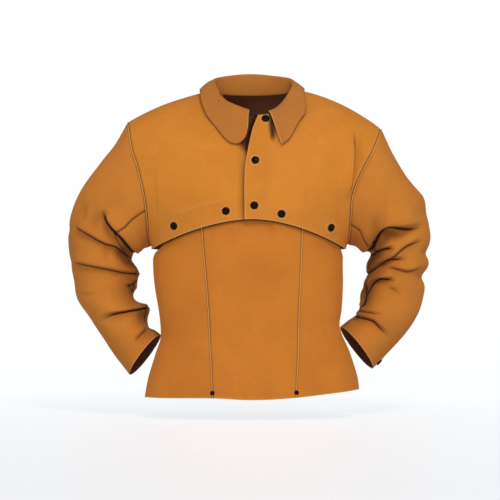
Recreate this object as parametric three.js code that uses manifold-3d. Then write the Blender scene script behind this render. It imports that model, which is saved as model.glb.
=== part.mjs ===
// A welder's leather cape sleeve with a detachable bib, in the shape it takes when it is worn with the
// hands at the hips. Millimetres, +Z up. The front faces -Y, the wearer's left is +X, and the origin
// is in the middle of the neck, level with the foot of the collar at its sides.
import * as THREE from "three";
import { mergeVertices } from "three/addons/utils/BufferGeometryUtils.js";
import Module from "manifold-3d";

const { lerp, clamp, smoothstep, degToRad, radToDeg } = THREE.MathUtils;
const wasm = await Module();
wasm.setup();

// Leather and seams
const LEATHER = 1.6;
const SEAM_GAP = 0.4;
const BIB_WELT = { width: 1.6, rise: 2.2, sink: 1.2 };
const ARMHOLE_WELT = { width: 1.8, gap: 1, rise: 2, sink: 0.6, reach: 148 }; // reach: degrees from the top
const LAP = 6; // from the outside of one layer to the outside of the layer snapped under it

// The body of the cape. Its level sections are superellipses about the line of the shoulders.
const ROUNDNESS = 2.4;
const SHOULDER_Y = 5;
const SHOULDER_TOP_Z = 12;
const CHEST = { depth: 123, rollMiddle: 260, rollTip: 150 }; // roll: height of the turn to the shoulder
const BACK = { depth: 112, rollMiddle: 200, rollTip: 150 };
const ROLL_POWER = 0.45;
// The armhole's depth as a share of the body's, the share of its height where that is reached, and how.
const ARMHOLE = { depth: 0.66, full: 0.5, power: 0.5 };
const ARMHOLE_TILT = { x: 0.9, z: -0.44 }; // the way the sleeve leaves the armhole

// Edges of the cape
const NECK = { half: 74, frontX: 8, frontZ: -41.5, backZ: 1, power: 0.8 };
const HEM = { middleZ: -228, sideZ: -281, arch: 1.8, backDrop: 9 };
const UNDERLAP = { hemX: 24, neckX: 38, from: -30, to: -16 }; // the lower front's edge, and where it sinks

// The two sides differ, because the weight is on one leg. slope: power of the fall from the neck to
// the tip of the shoulder. half: from the middle to the side, where the body has turned right round;
// above underarmZ that is the edge of the armhole.
const SIDES = {
  right: {
    sign: -1,
    tip: { x: 224, z: -52 },
    slope: 1.85,
    underarmZ: -266,
    half: [
      { z: -546, x: 198 },
      { z: -508, x: 190 },
      { z: -470, x: 179 },
      { z: -436, x: 170 },
      { z: -346, x: 180 },
      { z: -300, x: 184 },
      { z: -281, x: 181 },
      { z: -266, x: 184 },
      { z: -202, x: 190 },
      { z: -166, x: 197 },
      { z: -130, x: 206 },
      { z: -103, x: 215 },
      { z: -52, x: 224 },
    ],
  },
  left: {
    sign: 1,
    tip: { x: 232, z: -65 },
    slope: 2.05,
    underarmZ: -268,
    half: [
      { z: -533, x: 194 },
      { z: -508, x: 191 },
      { z: -470, x: 180 },
      { z: -421, x: 162 },
      { z: -390, x: 165 },
      { z: -346, x: 167 },
      { z: -281, x: 168 },
      { z: -268, x: 172 },
      { z: -220, x: 175 },
      { z: -184, x: 178 },
      { z: -139, x: 197 },
      { z: -106, x: 215 },
      { z: -65, x: 232 },
    ],
  },
};

// The front edge of the upper front
const PLACKET = [
  { z: -229, x: -14 },
  { z: -141, x: -13.5 },
  { z: -105, x: -8 },
  { z: -80, x: -3 },
  { z: -62, x: 2 },
  { z: -41, x: 10.5 },
];

// The collar stands on the neckline and folds over. Each row is a section: its angle round the neck
// from the middle of the back, the top of the fold, and the leaf's edge. The edge lies down the chest
// (minus) or down the back (plus) from the line of the shoulder, lifted off the leather below.
const FOLD_LINE = { centreY: -15, halfY: 57, radius: 2.2 };
const COLLAR_FOOT = 2.4; // from the neckline to the neck side of the stand
const COLLAR = [
  { angle: -169, foldX: -6, foldZ: -33, edgeX: -28, edgeDown: -109, lift: 7 },
  { angle: -145, foldX: -30, foldZ: -24, edgeX: -43, edgeDown: -101, lift: 5 },
  { angle: -122, foldX: -50, foldZ: -13, edgeX: -67, edgeDown: -69, lift: 4 },
  { angle: -100, foldX: -62, foldZ: 6, edgeX: -84, edgeDown: -42, lift: 6.5 },
  { angle: -80, foldX: -66, foldZ: 18, edgeX: -94, edgeDown: -13, lift: 8 },
  { angle: -50, foldX: -57, foldZ: 29, edgeX: -88, edgeDown: 14, lift: 6.5 },
  { angle: 0, foldX: 2, foldZ: 36, edgeX: 2, edgeDown: 32, lift: 4 },
  { angle: 50, foldX: 61, foldZ: 28, edgeX: 95, edgeDown: 14, lift: 6.5 },
  { angle: 80, foldX: 73, foldZ: 16, edgeX: 102, edgeDown: -9, lift: 8 },
  { angle: 100, foldX: 70, foldZ: 4, edgeX: 97, edgeDown: -38, lift: 6.5 },
  { angle: 122, foldX: 58, foldZ: -15, edgeX: 82, edgeDown: -62, lift: 4 },
  { angle: 142, foldX: 43, foldZ: -28, edgeX: 66, edgeDown: -93, lift: 5 },
  { angle: 163, foldX: 29, foldZ: -35, edgeX: 52, edgeDown: -106, lift: 7 },
];

// The bib
const BIB_OVERLAP = 40; // how far it runs up under the cape's hem
const BIB_REACH = 0.97; // its side edges, as a share of the body's half-width
const BIB_SLANT = 2.2; // most that the lap grows where the body slants away
const BIB_WAIST = [
  { z: -546, depth: 119 },
  { z: -430, depth: 115 },
  { z: -281, depth: 123 },
];
const BIB_CORNER = [
  { z: -288, share: 1 },
  { z: -262, share: 0.9 },
  { z: -226, share: 0.78 },
];
const BIB_HEM = [
  { x: -192, z: -546 },
  { x: -70, z: -544 },
  { x: 0, z: -547 },
  { x: 78, z: -543 },
  { x: 188, z: -532 },
];
const BIB_SEAMS = {
  right: [
    { z: -545, x: 70 },
    { z: -442, x: 75 },
    { z: -371, x: 79 },
    { z: -304, x: 85 },
    { z: -200, x: 93 },
  ],
  left: [
    { z: -545, x: 77 },
    { z: -442, x: 81 },
    { z: -371, x: 83 },
    { z: -304, x: 86 },
    { z: -200, x: 90 },
  ],
};

// Sections of the sleeves below the armhole, from the front: the outer and inner end of each, how far
// behind the neck its middle is, half its depth, and how far its front is drawn back up the arm.
const SLEEVES = {
  right: [
    { outX: -253, outZ: -101, inX: -190, inZ: -270, y: 7, depth: 75, drawn: 0 },
    { outX: -288, outZ: -144, inX: -198, inZ: -275, y: 14, depth: 72, drawn: 0 },
    { outX: -316, outZ: -185, inX: -209, inZ: -281, y: 23, depth: 69, drawn: 0 },
    { outX: -329, outZ: -221, inX: -216, inZ: -291, y: 32, depth: 67, drawn: 0 },
    { outX: -333, outZ: -261, inX: -217, inZ: -302, y: 40, depth: 66, drawn: 0 },
    { outX: -330, outZ: -301, inX: -213, inZ: -316, y: 47, depth: 64, drawn: 0 },
    { outX: -323, outZ: -338, inX: -208, inZ: -334, y: 52, depth: 62, drawn: 0 },
    { outX: -316, outZ: -374, inX: -214, inZ: -365, y: 53, depth: 60, drawn: 1 },
    { outX: -291, outZ: -410, inX: -190, inZ: -386, y: 45, depth: 57, drawn: 3 },
    { outX: -258, outZ: -456, inX: -190, inZ: -413, y: 33, depth: 52, drawn: 5 },
    { outX: -220, outZ: -506, inX: -167, inZ: -436, y: 22, depth: 46, drawn: 7 },
  ],
  left: [
    { outX: 253, outZ: -110, inX: 178, inZ: -271, y: 7, depth: 75, drawn: 0 },
    { outX: 275, outZ: -146, inX: 189, inZ: -275, y: 14, depth: 72, drawn: 0 },
    { outX: 301, outZ: -176, inX: 200, inZ: -280, y: 23, depth: 69, drawn: 0 },
    { outX: 314, outZ: -200, inX: 210, inZ: -286, y: 32, depth: 67, drawn: 0 },
    { outX: 321, outZ: -243, inX: 213, inZ: -294, y: 40, depth: 66, drawn: 0 },
    { outX: 319, outZ: -283, inX: 211, inZ: -310, y: 47, depth: 64, drawn: 0 },
    { outX: 314, outZ: -322, inX: 208, inZ: -334, y: 52, depth: 62, drawn: 0 },
    { outX: 311, outZ: -359, inX: 199, inZ: -357, y: 53, depth: 60, drawn: 1 },
    { outX: 298, outZ: -401, inX: 195, inZ: -379, y: 45, depth: 57, drawn: 3 },
    { outX: 261, outZ: -451, inX: 186, inZ: -401, y: 33, depth: 52, drawn: 5 },
    { outX: 216, outZ: -495, inX: 160, inZ: -422, y: 22, depth: 46, drawn: 7 },
  ],
};
const UNDERSLEEVE = { from: 120, to: 240 }; // degrees round the sleeve from its outer line, front first

// Folds of the sleeves: lines seen from the front or the back, from the inside of the arm to the
// outside, through points [x, z]. The leather above a line stands out over the leather below it by up
// to the fold's rise, and the swell dies away over its reach.
const FOLD_STEP = 6;
const FOLD_ENDS = 0.6; // share of a fold's length where it starts to fade out
const FOLD_FACING = { from: -0.5, to: 0.15 }; // how far round to the other face a fold runs
const FOLDS = {
  right: [
    { face: "front", inner: [-212, -288], middle: [-243, -250], outer: [-266, -214], rise: 7, reach: 30 },
    { face: "front", inner: [-218, -297], middle: [-266, -271], outer: [-320, -241], rise: 7, reach: 24 },
    { face: "front", inner: [-212, -325], middle: [-254, -319], outer: [-326, -305], rise: 7, reach: 24 },
    { face: "front", inner: [-193, -388], middle: [-230, -394], outer: [-276, -412], rise: 8, reach: 24 },
    { face: "back", inner: [-213, -292], middle: [-250, -262], outer: [-300, -226], rise: 8, reach: 30 },
    { face: "back", inner: [-212, -330], middle: [-262, -318], outer: [-322, -302], rise: 7, reach: 26 },
    { face: "back", inner: [-196, -386], middle: [-240, -392], outer: [-286, -404], rise: 7, reach: 24 },
  ],
  left: [
    { face: "front", inner: [210, -280], middle: [234, -244], outer: [308, -238], rise: 7, reach: 28 },
    { face: "front", inner: [226, -305], middle: [258, -289], outer: [310, -266], rise: 6, reach: 22 },
    { face: "front", inner: [212, -322], middle: [258, -317], outer: [308, -316], rise: 6, reach: 20 },
    { face: "front", inner: [198, -380], middle: [222, -337], outer: [258, -338], rise: 8, reach: 24 },
    { face: "front", inner: [188, -402], middle: [220, -412], outer: [246, -441], rise: 6, reach: 20 },
    { face: "back", inner: [210, -288], middle: [250, -256], outer: [300, -228], rise: 8, reach: 30 },
    { face: "back", inner: [206, -326], middle: [256, -312], outer: [312, -296], rise: 7, reach: 26 },
    { face: "back", inner: [190, -386], middle: [232, -392], outer: [280, -402], rise: 7, reach: 24 },
  ],
};

// Press snaps: a cap with its socket on the upper layer and a stud on the lower one. Heights are from
// the outside of the upper layer.
const SNAP = { capR: 6.4, shankR: 2, holeR: 2.6, backR: 4.8, cavityR: 3, headR: 2.3, sides: 8 };
const CAP_HEIGHTS = { top: 3, rim: 0.6, neck: 0.3, washer: -2.6, roof: -3.6, mouth: -4.9 };
const STUD_HEIGHTS = { top: -4, shoulder: -5, neck: -5.4, washer: -8.8, back: -9.8 };
const PLAIN_HEIGHTS = { top: 3, rim: 0.8, neck: 0.5, washer: -2.6, back: -3.6 };
const CHEST_SNAPS = [
  { name: "hem_snap_1", x: -139, z: -240, under: "bib" },
  { name: "hem_snap_2", x: -47, z: -214, under: "bib" },
  { name: "hem_snap_3", x: 51, z: -219, under: "bib" },
  { name: "hem_snap_4", x: 139, z: -243, under: "bib" },
  { name: "placket_snap_1", x: 5, z: -124, under: "front" },
  { name: "placket_snap_2", x: 3, z: -204, under: "front" },
  { name: "collar_snap", x: 23, z: -49.5, under: "front" },
];
const CUFF_SNAPS = [
  { name: "cuff_snap_right", side: "right", along: 0.965, angle: -35 },
  { name: "cuff_snap_left", side: "left", along: 0.972, angle: 10 },
];
const RIVET = { headR: 4, shankR: 1.5, holeR: 2, aboveHem: 9, clear: 1 }; // clear: below the welt
const RIVET_HEIGHTS = { top: 1.8, rim: 0.6, neck: 0.4, washer: -2.4, back: -3.4 };

// Facets of the walls
const FRONT_FACETS = { across: 11, up: 11, lap: 2 }; // lap: more columns on the front that laps under
const BACK_FACETS = { across: 16, up: 12 };
const COLLAR_FACETS = { round: 26, stand: 2, fold: 2, leaf: 4 };
const SLEEVE_FACETS = { upper: 15, under: 7, along: 19 };
const BIB_FACETS = { center: 8, side: 6, up: 12 };
const ARMHOLE_WELT_FACETS = 24;

const TAN = { color: 0xc47c33, roughness: 0.9, metalness: 0 };
const PALE_TAN = { color: 0xd09a58, roughness: 0.85, metalness: 0 };
const BLACK_ENAMEL = { color: 0x17130f, roughness: 0.35, metalness: 0.5 };

// A smooth curve through a table's rows: one column as a function of another that rises.
function through(rows, key, column) {
  const last = rows.length - 1;
  const slopes = rows.map((_, i) => {
    const [before, after] = [rows[Math.max(i - 1, 0)], rows[Math.min(i + 1, last)]];
    return (after[column] - before[column]) / (after[key] - before[key]);
  });
  return (at) => {
    let i = 0;
    while (i < last - 1 && at > rows[i + 1][key]) i++;
    const span = rows[i + 1][key] - rows[i][key];
    const t = clamp((at - rows[i][key]) / span, 0, 1);
    const ease = t * t * (3 - 2 * t);
    const leaving = slopes[i] * t * (1 - t) * (1 - t);
    const arriving = slopes[i + 1] * t * t * (t - 1);
    return lerp(rows[i][column], rows[i + 1][column], ease) + span * (leaving + arriving);
  };
}

// A patch spanned between four edges, each a function from 0..1 to a point [x, z] of the front view.
function coons(bottom, top, start, end) {
  const [c00, c10, c01, c11] = [bottom(0), bottom(1), top(0), top(1)];
  return (u, v) => {
    const [b, t, s, e] = [bottom(u), top(u), start(v), end(v)];
    return [0, 1].map((k) => {
      const corners = lerp(lerp(c00[k], c10[k], u), lerp(c01[k], c11[k], u), v);
      return lerp(b[k], t[k], v) + lerp(s[k], e[k], u) - corners;
    });
  };
}

// Spacing that closes up towards 1, where a surface turns away from the view.
const easeOut = (t) => Math.sin((t * Math.PI) / 2);
const easeBoth = (t) => (1 - Math.cos(t * Math.PI)) / 2;

// The unit normal of a surface, from small steps to each side. round: u runs on past 0 and 1.
function normalOf(surface, u, v, round = false) {
  const STEP = 1e-3;
  const [u0, u1] = round ? [u - STEP, u + STEP] : [Math.max(u - STEP, 0), Math.min(u + STEP, 1)];
  const acrossU = surface(u1, v).sub(surface(u0, v));
  const acrossV = surface(u, Math.min(v + STEP, 1)).sub(surface(u, Math.max(v - STEP, 0)));
  return acrossU.cross(acrossV).normalize();
}

// A wall whose outside is surface(u, v) and whose inside is one thickness behind it. turned: u and v
// run clockwise, seen from outside. trim: keeps both sides off a neighbour.
function wall(columns, rows, surface, options = {}) {
  const { turned = false, round = false, thickness = LEATHER, trim = (point) => point } = options;
  const outer = [];
  const inner = [];
  for (let j = 0; j <= rows; j++) {
    for (let i = 0; i <= columns; i++) {
      const [u, v] = [i / columns, j / rows];
      const point = surface(u, v);
      const inward = normalOf(surface, u, v, round).multiplyScalar(turned ? thickness : -thickness);
      inner.push(trim(point.clone().add(inward)));
      outer.push(trim(point));
    }
  }
  const behind = outer.length;
  const at = (i, j) => j * (columns + 1) + i;
  const faces = [];
  const quad = (a, b, c, d) => {
    if (turned) faces.push(a, c, b, a, d, c);
    else faces.push(a, b, c, a, c, d);
  };
  for (let j = 0; j < rows; j++) {
    for (let i = 0; i < columns; i++) {
      const [a, b, c, d] = [at(i, j), at(i + 1, j), at(i + 1, j + 1), at(i, j + 1)];
      quad(a, b, c, d);
      quad(behind + d, behind + c, behind + b, behind + a);
    }
  }
  const rim = [];
  for (let i = 0; i < columns; i++) rim.push(at(i, 0));
  for (let j = 0; j < rows; j++) rim.push(at(columns, j));
  for (let i = columns; i > 0; i--) rim.push(at(i, rows));
  for (let j = rows; j > 0; j--) rim.push(at(0, j));
  rim.forEach((a, k) => {
    const b = rim[(k + 1) % rim.length];
    quad(b, a, behind + a, behind + b);
  });
  return new THREE.BufferGeometry().setFromPoints([...outer, ...inner]).setIndex(faces);
}

function toManifold(geometry) {
  const bare = new THREE.BufferGeometry().setAttribute("position", geometry.getAttribute("position"));
  const merged = mergeVertices(bare.setIndex(geometry.index), 1e-3);
  return new wasm.Manifold(
    new wasm.Mesh({
      numProp: 3,
      vertProperties: new Float32Array(merged.getAttribute("position").array),
      triVerts: new Uint32Array(merged.index.array),
    }),
  );
}

function toGeometry(solid) {
  const { vertProperties, triVerts } = solid.getMesh();
  const geometry = new THREE.BufferGeometry();
  geometry.setAttribute("position", new THREE.BufferAttribute(new Float32Array(vertProperties), 3));
  return geometry.setIndex(new THREE.BufferAttribute(new Uint32Array(triVerts), 1));
}

const UP_AXIS = new THREE.Vector3(0, 1, 0);
const alongNormal = (normal) => new THREE.Quaternion().setFromUnitVectors(UP_AXIS, normal);

// Cuts the round holes that snaps and rivets pass through.
function punched(geometry, places, radius) {
  const DEPTH = 8;
  return toGeometry(
    places.reduce((solid, { point, normal }) => {
      const punch = new THREE.CylinderGeometry(radius, radius, DEPTH, SNAP.sides);
      punch.applyQuaternion(alongNormal(normal)).translate(...point);
      return solid.subtract(toManifold(punch));
    }, toManifold(geometry)),
  );
}

const group = new THREE.Group();
function add(name, geometry, finish) {
  geometry.computeVertexNormals();
  const mesh = new THREE.Mesh(geometry, new THREE.MeshStandardMaterial(finish));
  mesh.name = name;
  group.add(mesh);
  return mesh;
}

// The body's surface, on which the cape and the bib lie

const sideOf = (x) => (x < 0 ? SIDES.right : SIDES.left);
for (const side of Object.values(SIDES)) side.halfAt = through(side.half, "z", "x");
const waistDepth = through(BIB_WAIST, "z", "depth");

function shoulderZ(x) {
  const { tip, slope } = sideOf(x);
  return SHOULDER_TOP_Z - (SHOULDER_TOP_Z - tip.z) * (Math.abs(x) / tip.x) ** slope;
}

// Half-width at which the surface would have turned right round. Beside the armhole that is past the
// edge, so that the edge has depth from front to back.
function turnHalf(side, z) {
  const up = clamp((z - side.underarmZ) / (side.tip.z - side.underarmZ), 0, 1);
  const depth = ARMHOLE.depth * Math.sin((Math.PI / 2) * Math.min(1, up / ARMHOLE.full)) ** ARMHOLE.power;
  return side.halfAt(z) / (1 - depth ** ROUNDNESS) ** (1 / ROUNDNESS);
}

function reach(x, z, { depth, rollMiddle, rollTip }) {
  const side = sideOf(x);
  const out = Math.min(Math.abs(x) / turnHalf(side, z), 1);
  const roll = lerp(rollMiddle, rollTip, Math.min(Math.abs(x) / side.tip.x, 1) ** 2);
  const down = clamp((shoulderZ(x) - z) / roll, 0, 1);
  const round = (1 - out ** ROUNDNESS) ** (1 / ROUNDNESS);
  return depth * round * Math.sin((Math.PI / 2) * down) ** ROLL_POWER;
}

const chestY = (x, z) => SHOULDER_Y - reach(x, z, { ...CHEST, depth: waistDepth(z) });
const backY = (x, z) => SHOULDER_Y + reach(x, z, BACK);

// How much longer a step through the chest is along Y than square to the surface.
function slantOf(x, z) {
  const STEP = 0.5;
  const slopeX = (chestY(x + STEP, z) - chestY(x - STEP, z)) / (2 * STEP);
  const slopeZ = (chestY(x, z + STEP) - chestY(x, z - STEP)) / (2 * STEP);
  return Math.min(Math.hypot(1, slopeX, slopeZ), BIB_SLANT);
}

// The lower front sinks under the upper one, and the bib's top sinks with it.
const underlapSink = (x) => LAP * smoothstep(x, UNDERLAP.from, UNDERLAP.to);
function underFrontY(x, z) {
  return chestY(x, z) + underlapSink(x);
}
function bibY(x, z) {
  const BELOW_HEM = 60;
  const AHEAD = 18;
  const pastUnderlap = 1 - smoothstep(x, UNDERLAP.hemX + 2, UNDERLAP.hemX + AHEAD);
  const nearHem = smoothstep(z, HEM.middleZ - BELOW_HEM, HEM.middleZ - LAP);
  return chestY(x, z) + LAP * slantOf(x, z) + underlapSink(x) * pastUnderlap * nearHem;
}

function hemZ(x) {
  const half = sideOf(x).halfAt(HEM.sideZ);
  return lerp(HEM.middleZ, HEM.sideZ, Math.min(Math.abs(x) / half, 1) ** HEM.arch);
}

// The neckline at an angle round the neck from the middle of the back, or a smaller ring inside it.
function neckline(angle, inset = 0) {
  const [sin, cos] = [Math.sin(degToRad(angle)), Math.cos(degToRad(angle))];
  const half = NECK.half - inset;
  const x = half * sin + (NECK.frontX * (1 - cos)) / 2;
  const low = (cos < 0 ? NECK.frontZ : NECK.backZ) + inset;
  const side = shoulderZ(Math.sign(sin || 1) * half);
  return [x, lerp(side, low, Math.abs(cos) ** NECK.power)];
}

// The angle at which the front of the neckline passes an x, closed in on step by step.
function neckAngle(sign, x) {
  const STEPS = 8;
  let sin = 0;
  for (let step = 0; step < STEPS; step += 1) {
    sin = (x - (NECK.frontX * (1 + Math.sqrt(1 - sin * sin))) / 2) / NECK.half;
  }
  return sign * (180 - radToDeg(Math.asin(sign * sin)));
}

function shoulderPoint(side, t) {
  const x = side.sign * lerp(neckline(side.sign * 90)[0] * side.sign, side.tip.x, t);
  return [x, shoulderZ(x)];
}

function sideEdge(side) {
  return (v) => {
    const z = lerp(HEM.sideZ, side.tip.z, v);
    return [side.sign * side.halfAt(z), z];
  };
}

const inView = (depthAt) => ([x, z]) => new THREE.Vector3(x, depthAt(x, z), z);

// Keeps the fronts and the back apart along the shoulder and side seams.
const inFrontOfSeam = (point) => point.setY(Math.min(point.y, SHOULDER_Y - SEAM_GAP / 2));
const behindSeam = (point) => point.setY(Math.max(point.y, SHOULDER_Y + SEAM_GAP / 2));

// Snaps and rivets

function ringed(profile) {
  return new THREE.LatheGeometry(profile.map((p) => new THREE.Vector2(...p)), SNAP.sides);
}

// A domed head, from under its neck up to the axis.
function head(shankR, radius, { top, rim, neck }) {
  const BENDS = [0.4, 0.8];
  const bend = BENDS.map((t) => {
    const turn = (t * Math.PI) / 2;
    return [radius * Math.cos(turn), lerp(rim, top, Math.sin(turn))];
  });
  return [[shankR, neck], [radius, rim], ...bend, [0, top]];
}

// A washer below the leather, up to its shank.
const foot = (radius, shankR, { washer, back }) => [
  [0, back],
  [radius, back],
  [radius, washer],
  [shankR, washer],
];

const SNAP_CAP = ringed([
  [0, CAP_HEIGHTS.roof],
  [SNAP.cavityR, CAP_HEIGHTS.roof],
  [SNAP.cavityR, CAP_HEIGHTS.mouth],
  [SNAP.backR, CAP_HEIGHTS.mouth],
  [SNAP.backR, CAP_HEIGHTS.washer],
  [SNAP.shankR, CAP_HEIGHTS.washer],
  ...head(SNAP.shankR, SNAP.capR, CAP_HEIGHTS),
]);
const SNAP_STUD = ringed([
  ...foot(SNAP.backR, SNAP.shankR, STUD_HEIGHTS),
  [SNAP.shankR, STUD_HEIGHTS.neck],
  [SNAP.headR, STUD_HEIGHTS.shoulder],
  [SNAP.headR, STUD_HEIGHTS.top],
  [0, STUD_HEIGHTS.top],
]);
const PLAIN_SNAP = ringed([
  ...foot(SNAP.backR, SNAP.shankR, PLAIN_HEIGHTS),
  ...head(SNAP.shankR, SNAP.capR, PLAIN_HEIGHTS),
]);
const RIVET_BODY = ringed([
  ...foot(RIVET.headR, RIVET.shankR, RIVET_HEIGHTS),
  ...head(RIVET.shankR, RIVET.headR, RIVET_HEIGHTS),
]);

function fasten(name, geometry, { point, normal }) {
  const mesh = add(name, geometry.clone(), BLACK_ENAMEL);
  mesh.position.copy(point);
  mesh.quaternion.copy(alongNormal(normal));
}

// A place on the front of the body, with the direction straight out of it.
function placeOn(depthAt, x, z) {
  const STEP = 0.5;
  const across = new THREE.Vector3(2 * STEP, depthAt(x + STEP, z) - depthAt(x - STEP, z), 0);
  const up = new THREE.Vector3(0, depthAt(x, z + STEP) - depthAt(x, z - STEP), 2 * STEP);
  return { point: new THREE.Vector3(x, depthAt(x, z), z), normal: across.cross(up).normalize() };
}

const snapPlaces = CHEST_SNAPS.map((snap) => ({ ...snap, ...placeOn(chestY, snap.x, snap.z) }));
for (const snap of snapPlaces) {
  fasten(`${snap.name}_cap`, SNAP_CAP, snap);
  fasten(`${snap.name}_stud`, SNAP_STUD, snap);
}
// The same places one layer further in.
function onLowerLayer({ point, normal }) {
  return { point: point.clone().addScaledVector(normal, -LAP), normal };
}

// Cape

const placketX = through(PLACKET, "z", "x");
const UPPER_FRONT_TOP = neckline(neckAngle(1, PLACKET.at(-1).x));
const LOWER_FRONT_TOP = neckline(neckAngle(-1, UNDERLAP.neckX));

// A front in the front view, from its front edge (u = 0) to the side (u = 1), and from hem to neck.
function frontPatch(side, frontEdge) {
  const NECK_SHARE = 0.42;
  const startAngle = neckAngle(side.sign, frontEdge(1)[0]);
  const bottom = (u) => {
    const x = lerp(frontEdge(0)[0], side.sign * side.halfAt(HEM.sideZ), u);
    return [x, hemZ(x)];
  };
  const top = (u) => {
    if (u < NECK_SHARE) return neckline(lerp(startAngle, side.sign * 90, u / NECK_SHARE));
    return shoulderPoint(side, (u - NECK_SHARE) / (1 - NECK_SHARE));
  };
  const patch = coons(bottom, top, frontEdge, sideEdge(side));
  return (u, v) => patch(easeOut(u), easeOut(v));
}

function upperFrontEdge(v) {
  const z = lerp(hemZ(PLACKET[0].x), UPPER_FRONT_TOP[1], v);
  return [placketX(z), z];
}

function lowerFrontEdge(v) {
  return [lerp(UNDERLAP.hemX, UNDERLAP.neckX, v), lerp(hemZ(UNDERLAP.hemX), LOWER_FRONT_TOP[1], v)];
}

function backPatch() {
  const SHOULDER_SHARE = 0.34;
  const { right, left } = SIDES;
  const bottom = (u) => {
    const x = lerp(-right.halfAt(HEM.sideZ), left.halfAt(HEM.sideZ), u);
    return [x, HEM.sideZ - HEM.backDrop * (1 - (x / sideOf(x).halfAt(HEM.sideZ)) ** 2)];
  };
  const top = (u) => {
    if (u < SHOULDER_SHARE) return shoulderPoint(right, 1 - u / SHOULDER_SHARE);
    if (u > 1 - SHOULDER_SHARE) return shoulderPoint(left, 1 - (1 - u) / SHOULDER_SHARE);
    return neckline(lerp(-90, 90, (u - SHOULDER_SHARE) / (1 - 2 * SHOULDER_SHARE)));
  };
  const patch = coons(bottom, top, sideEdge(right), sideEdge(left));
  return (u, v) => patch(easeBoth(u), easeOut(v));
}

function addCape() {
  const upperFront = frontPatch(SIDES.left, upperFrontEdge);
  const lowerFront = frontPatch(SIDES.right, lowerFrontEdge);
  const back = backPatch();
  const [onChest, onUnderFront, onBack] = [inView(chestY), inView(underFrontY), inView(backY)];
  const { across, up, lap } = FRONT_FACETS;
  const trim = inFrontOfSeam;
  const leftFront = wall(across, up, (u, v) => onChest(upperFront(u, v)), { trim });
  const onUnder = (u, v) => onUnderFront(lowerFront(u, v));
  const rightFront = wall(across + lap, up, onUnder, { turned: true, trim });
  const throughLeft = snapPlaces.filter((snap) => snap.x > PLACKET[0].x);
  const throughRight = snapPlaces.filter((snap) => snap.x < PLACKET[0].x);
  const studsRight = snapPlaces.filter((snap) => snap.under === "front").map(onLowerLayer);
  add("cape_front_left", punched(leftFront, throughLeft, SNAP.holeR), TAN);
  add("cape_front_right", punched(rightFront, [...throughRight, ...studsRight], SNAP.holeR), TAN);
  const backWall = { turned: true, trim: behindSeam };
  add("cape_back", wall(BACK_FACETS.across, BACK_FACETS.up, (u, v) => onBack(back(u, v)), backWall), TAN);
}

// Collar

function addCollar() {
  const [first, last] = [COLLAR[0], COLLAR.at(-1)];
  const column = (name) => through(COLLAR, "angle", name);
  const [foldX, foldZ, edgeX, edgeDown, lift] = ["foldX", "foldZ", "edgeX", "edgeDown", "lift"].map(column);
  const rows = COLLAR_FACETS;
  const allRows = rows.stand + rows.fold + rows.leaf;
  const FULL_DOWN = 45; // down the body, where a lift is level and no longer upwards
  const SWELL = 5;
  const SETTLED = 0.6; // share of the way to the edge where the leaf is nearly flat

  const section = (angle) => {
    const a = degToRad(angle);
    const [footX, footZ] = neckline(angle, COLLAR_FOOT);
    const onChest = Math.cos(a) < 0;
    const foot = new THREE.Vector3(footX, onChest ? underFrontY(footX, footZ) : backY(footX, footZ), footZ);
    if (angle > 0 && onChest) foot.y = chestY(footX, footZ);
    const sink = angle < 0 && onChest ? underlapSink(foldX(angle)) : 0;
    const foldY = FOLD_LINE.centreY + FOLD_LINE.halfY * Math.cos(a) + sink;
    const fold = new THREE.Vector3(foldX(angle), foldY, foldZ(angle));
    const out = new THREE.Vector3(Math.sin(a), Math.cos(a), 0);
    const down = edgeDown(angle);
    const z = shoulderZ(edgeX(angle)) - Math.abs(down);
    const tilt = (clamp(down / FULL_DOWN, -1, 1) * Math.PI) / 2;
    const off = new THREE.Vector3(0, Math.sin(tilt), Math.cos(tilt));
    const below = down < 0 ? chestY : backY;
    const edge = inView(below)([edgeX(angle), z]).addScaledVector(off, lift(angle));
    return { foot, fold, out, off, edge };
  };

  const surface = (u, v) => {
    const { foot, fold, out, off, edge } = section(lerp(first.angle, last.angle, u));
    const row = v * allRows;
    const centre = fold.clone().setZ(fold.z - FOLD_LINE.radius);
    const standTop = centre.clone().addScaledVector(out, -FOLD_LINE.radius);
    if (row <= rows.stand) return foot.lerp(standTop, row / rows.stand);
    if (row <= rows.stand + rows.fold) {
      const turn = (((row - rows.stand) / rows.fold) * Math.PI) / 2;
      centre.addScaledVector(out, -FOLD_LINE.radius * Math.cos(turn));
      return centre.setZ(centre.z + FOLD_LINE.radius * Math.sin(turn));
    }
    const leaving = fold.clone().addScaledVector(out, 2 * SWELL);
    const settling = fold.clone().lerp(edge, SETTLED).addScaledVector(off, SWELL);
    const leaf = new THREE.CubicBezierCurve3(fold, leaving, settling, edge);
    return leaf.getPoint((row - rows.stand - rows.fold) / rows.leaf);
  };
  add("collar", wall(rows.round, allRows, surface), TAN);
}

// Sleeves

// The armhole's edge, at an angle round it from the top, front first.
function armholePoint(side, angle) {
  const a = degToRad(angle);
  const z = lerp(side.underarmZ, side.tip.z, (1 + Math.cos(a)) / 2);
  const x = side.sign * side.halfAt(z);
  return new THREE.Vector3(x, Math.sin(a) > 0 ? chestY(x, z) : backY(x, z), z);
}

// From the cape's edge of the armhole seam to the sleeve's.
const WELTED_SEAM = ARMHOLE_WELT.width + 2 * ARMHOLE_WELT.gap;
const acrossArmhole = (side) => new THREE.Vector3(ARMHOLE_TILT.x * side.sign, 0, ARMHOLE_TILT.z);

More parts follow.
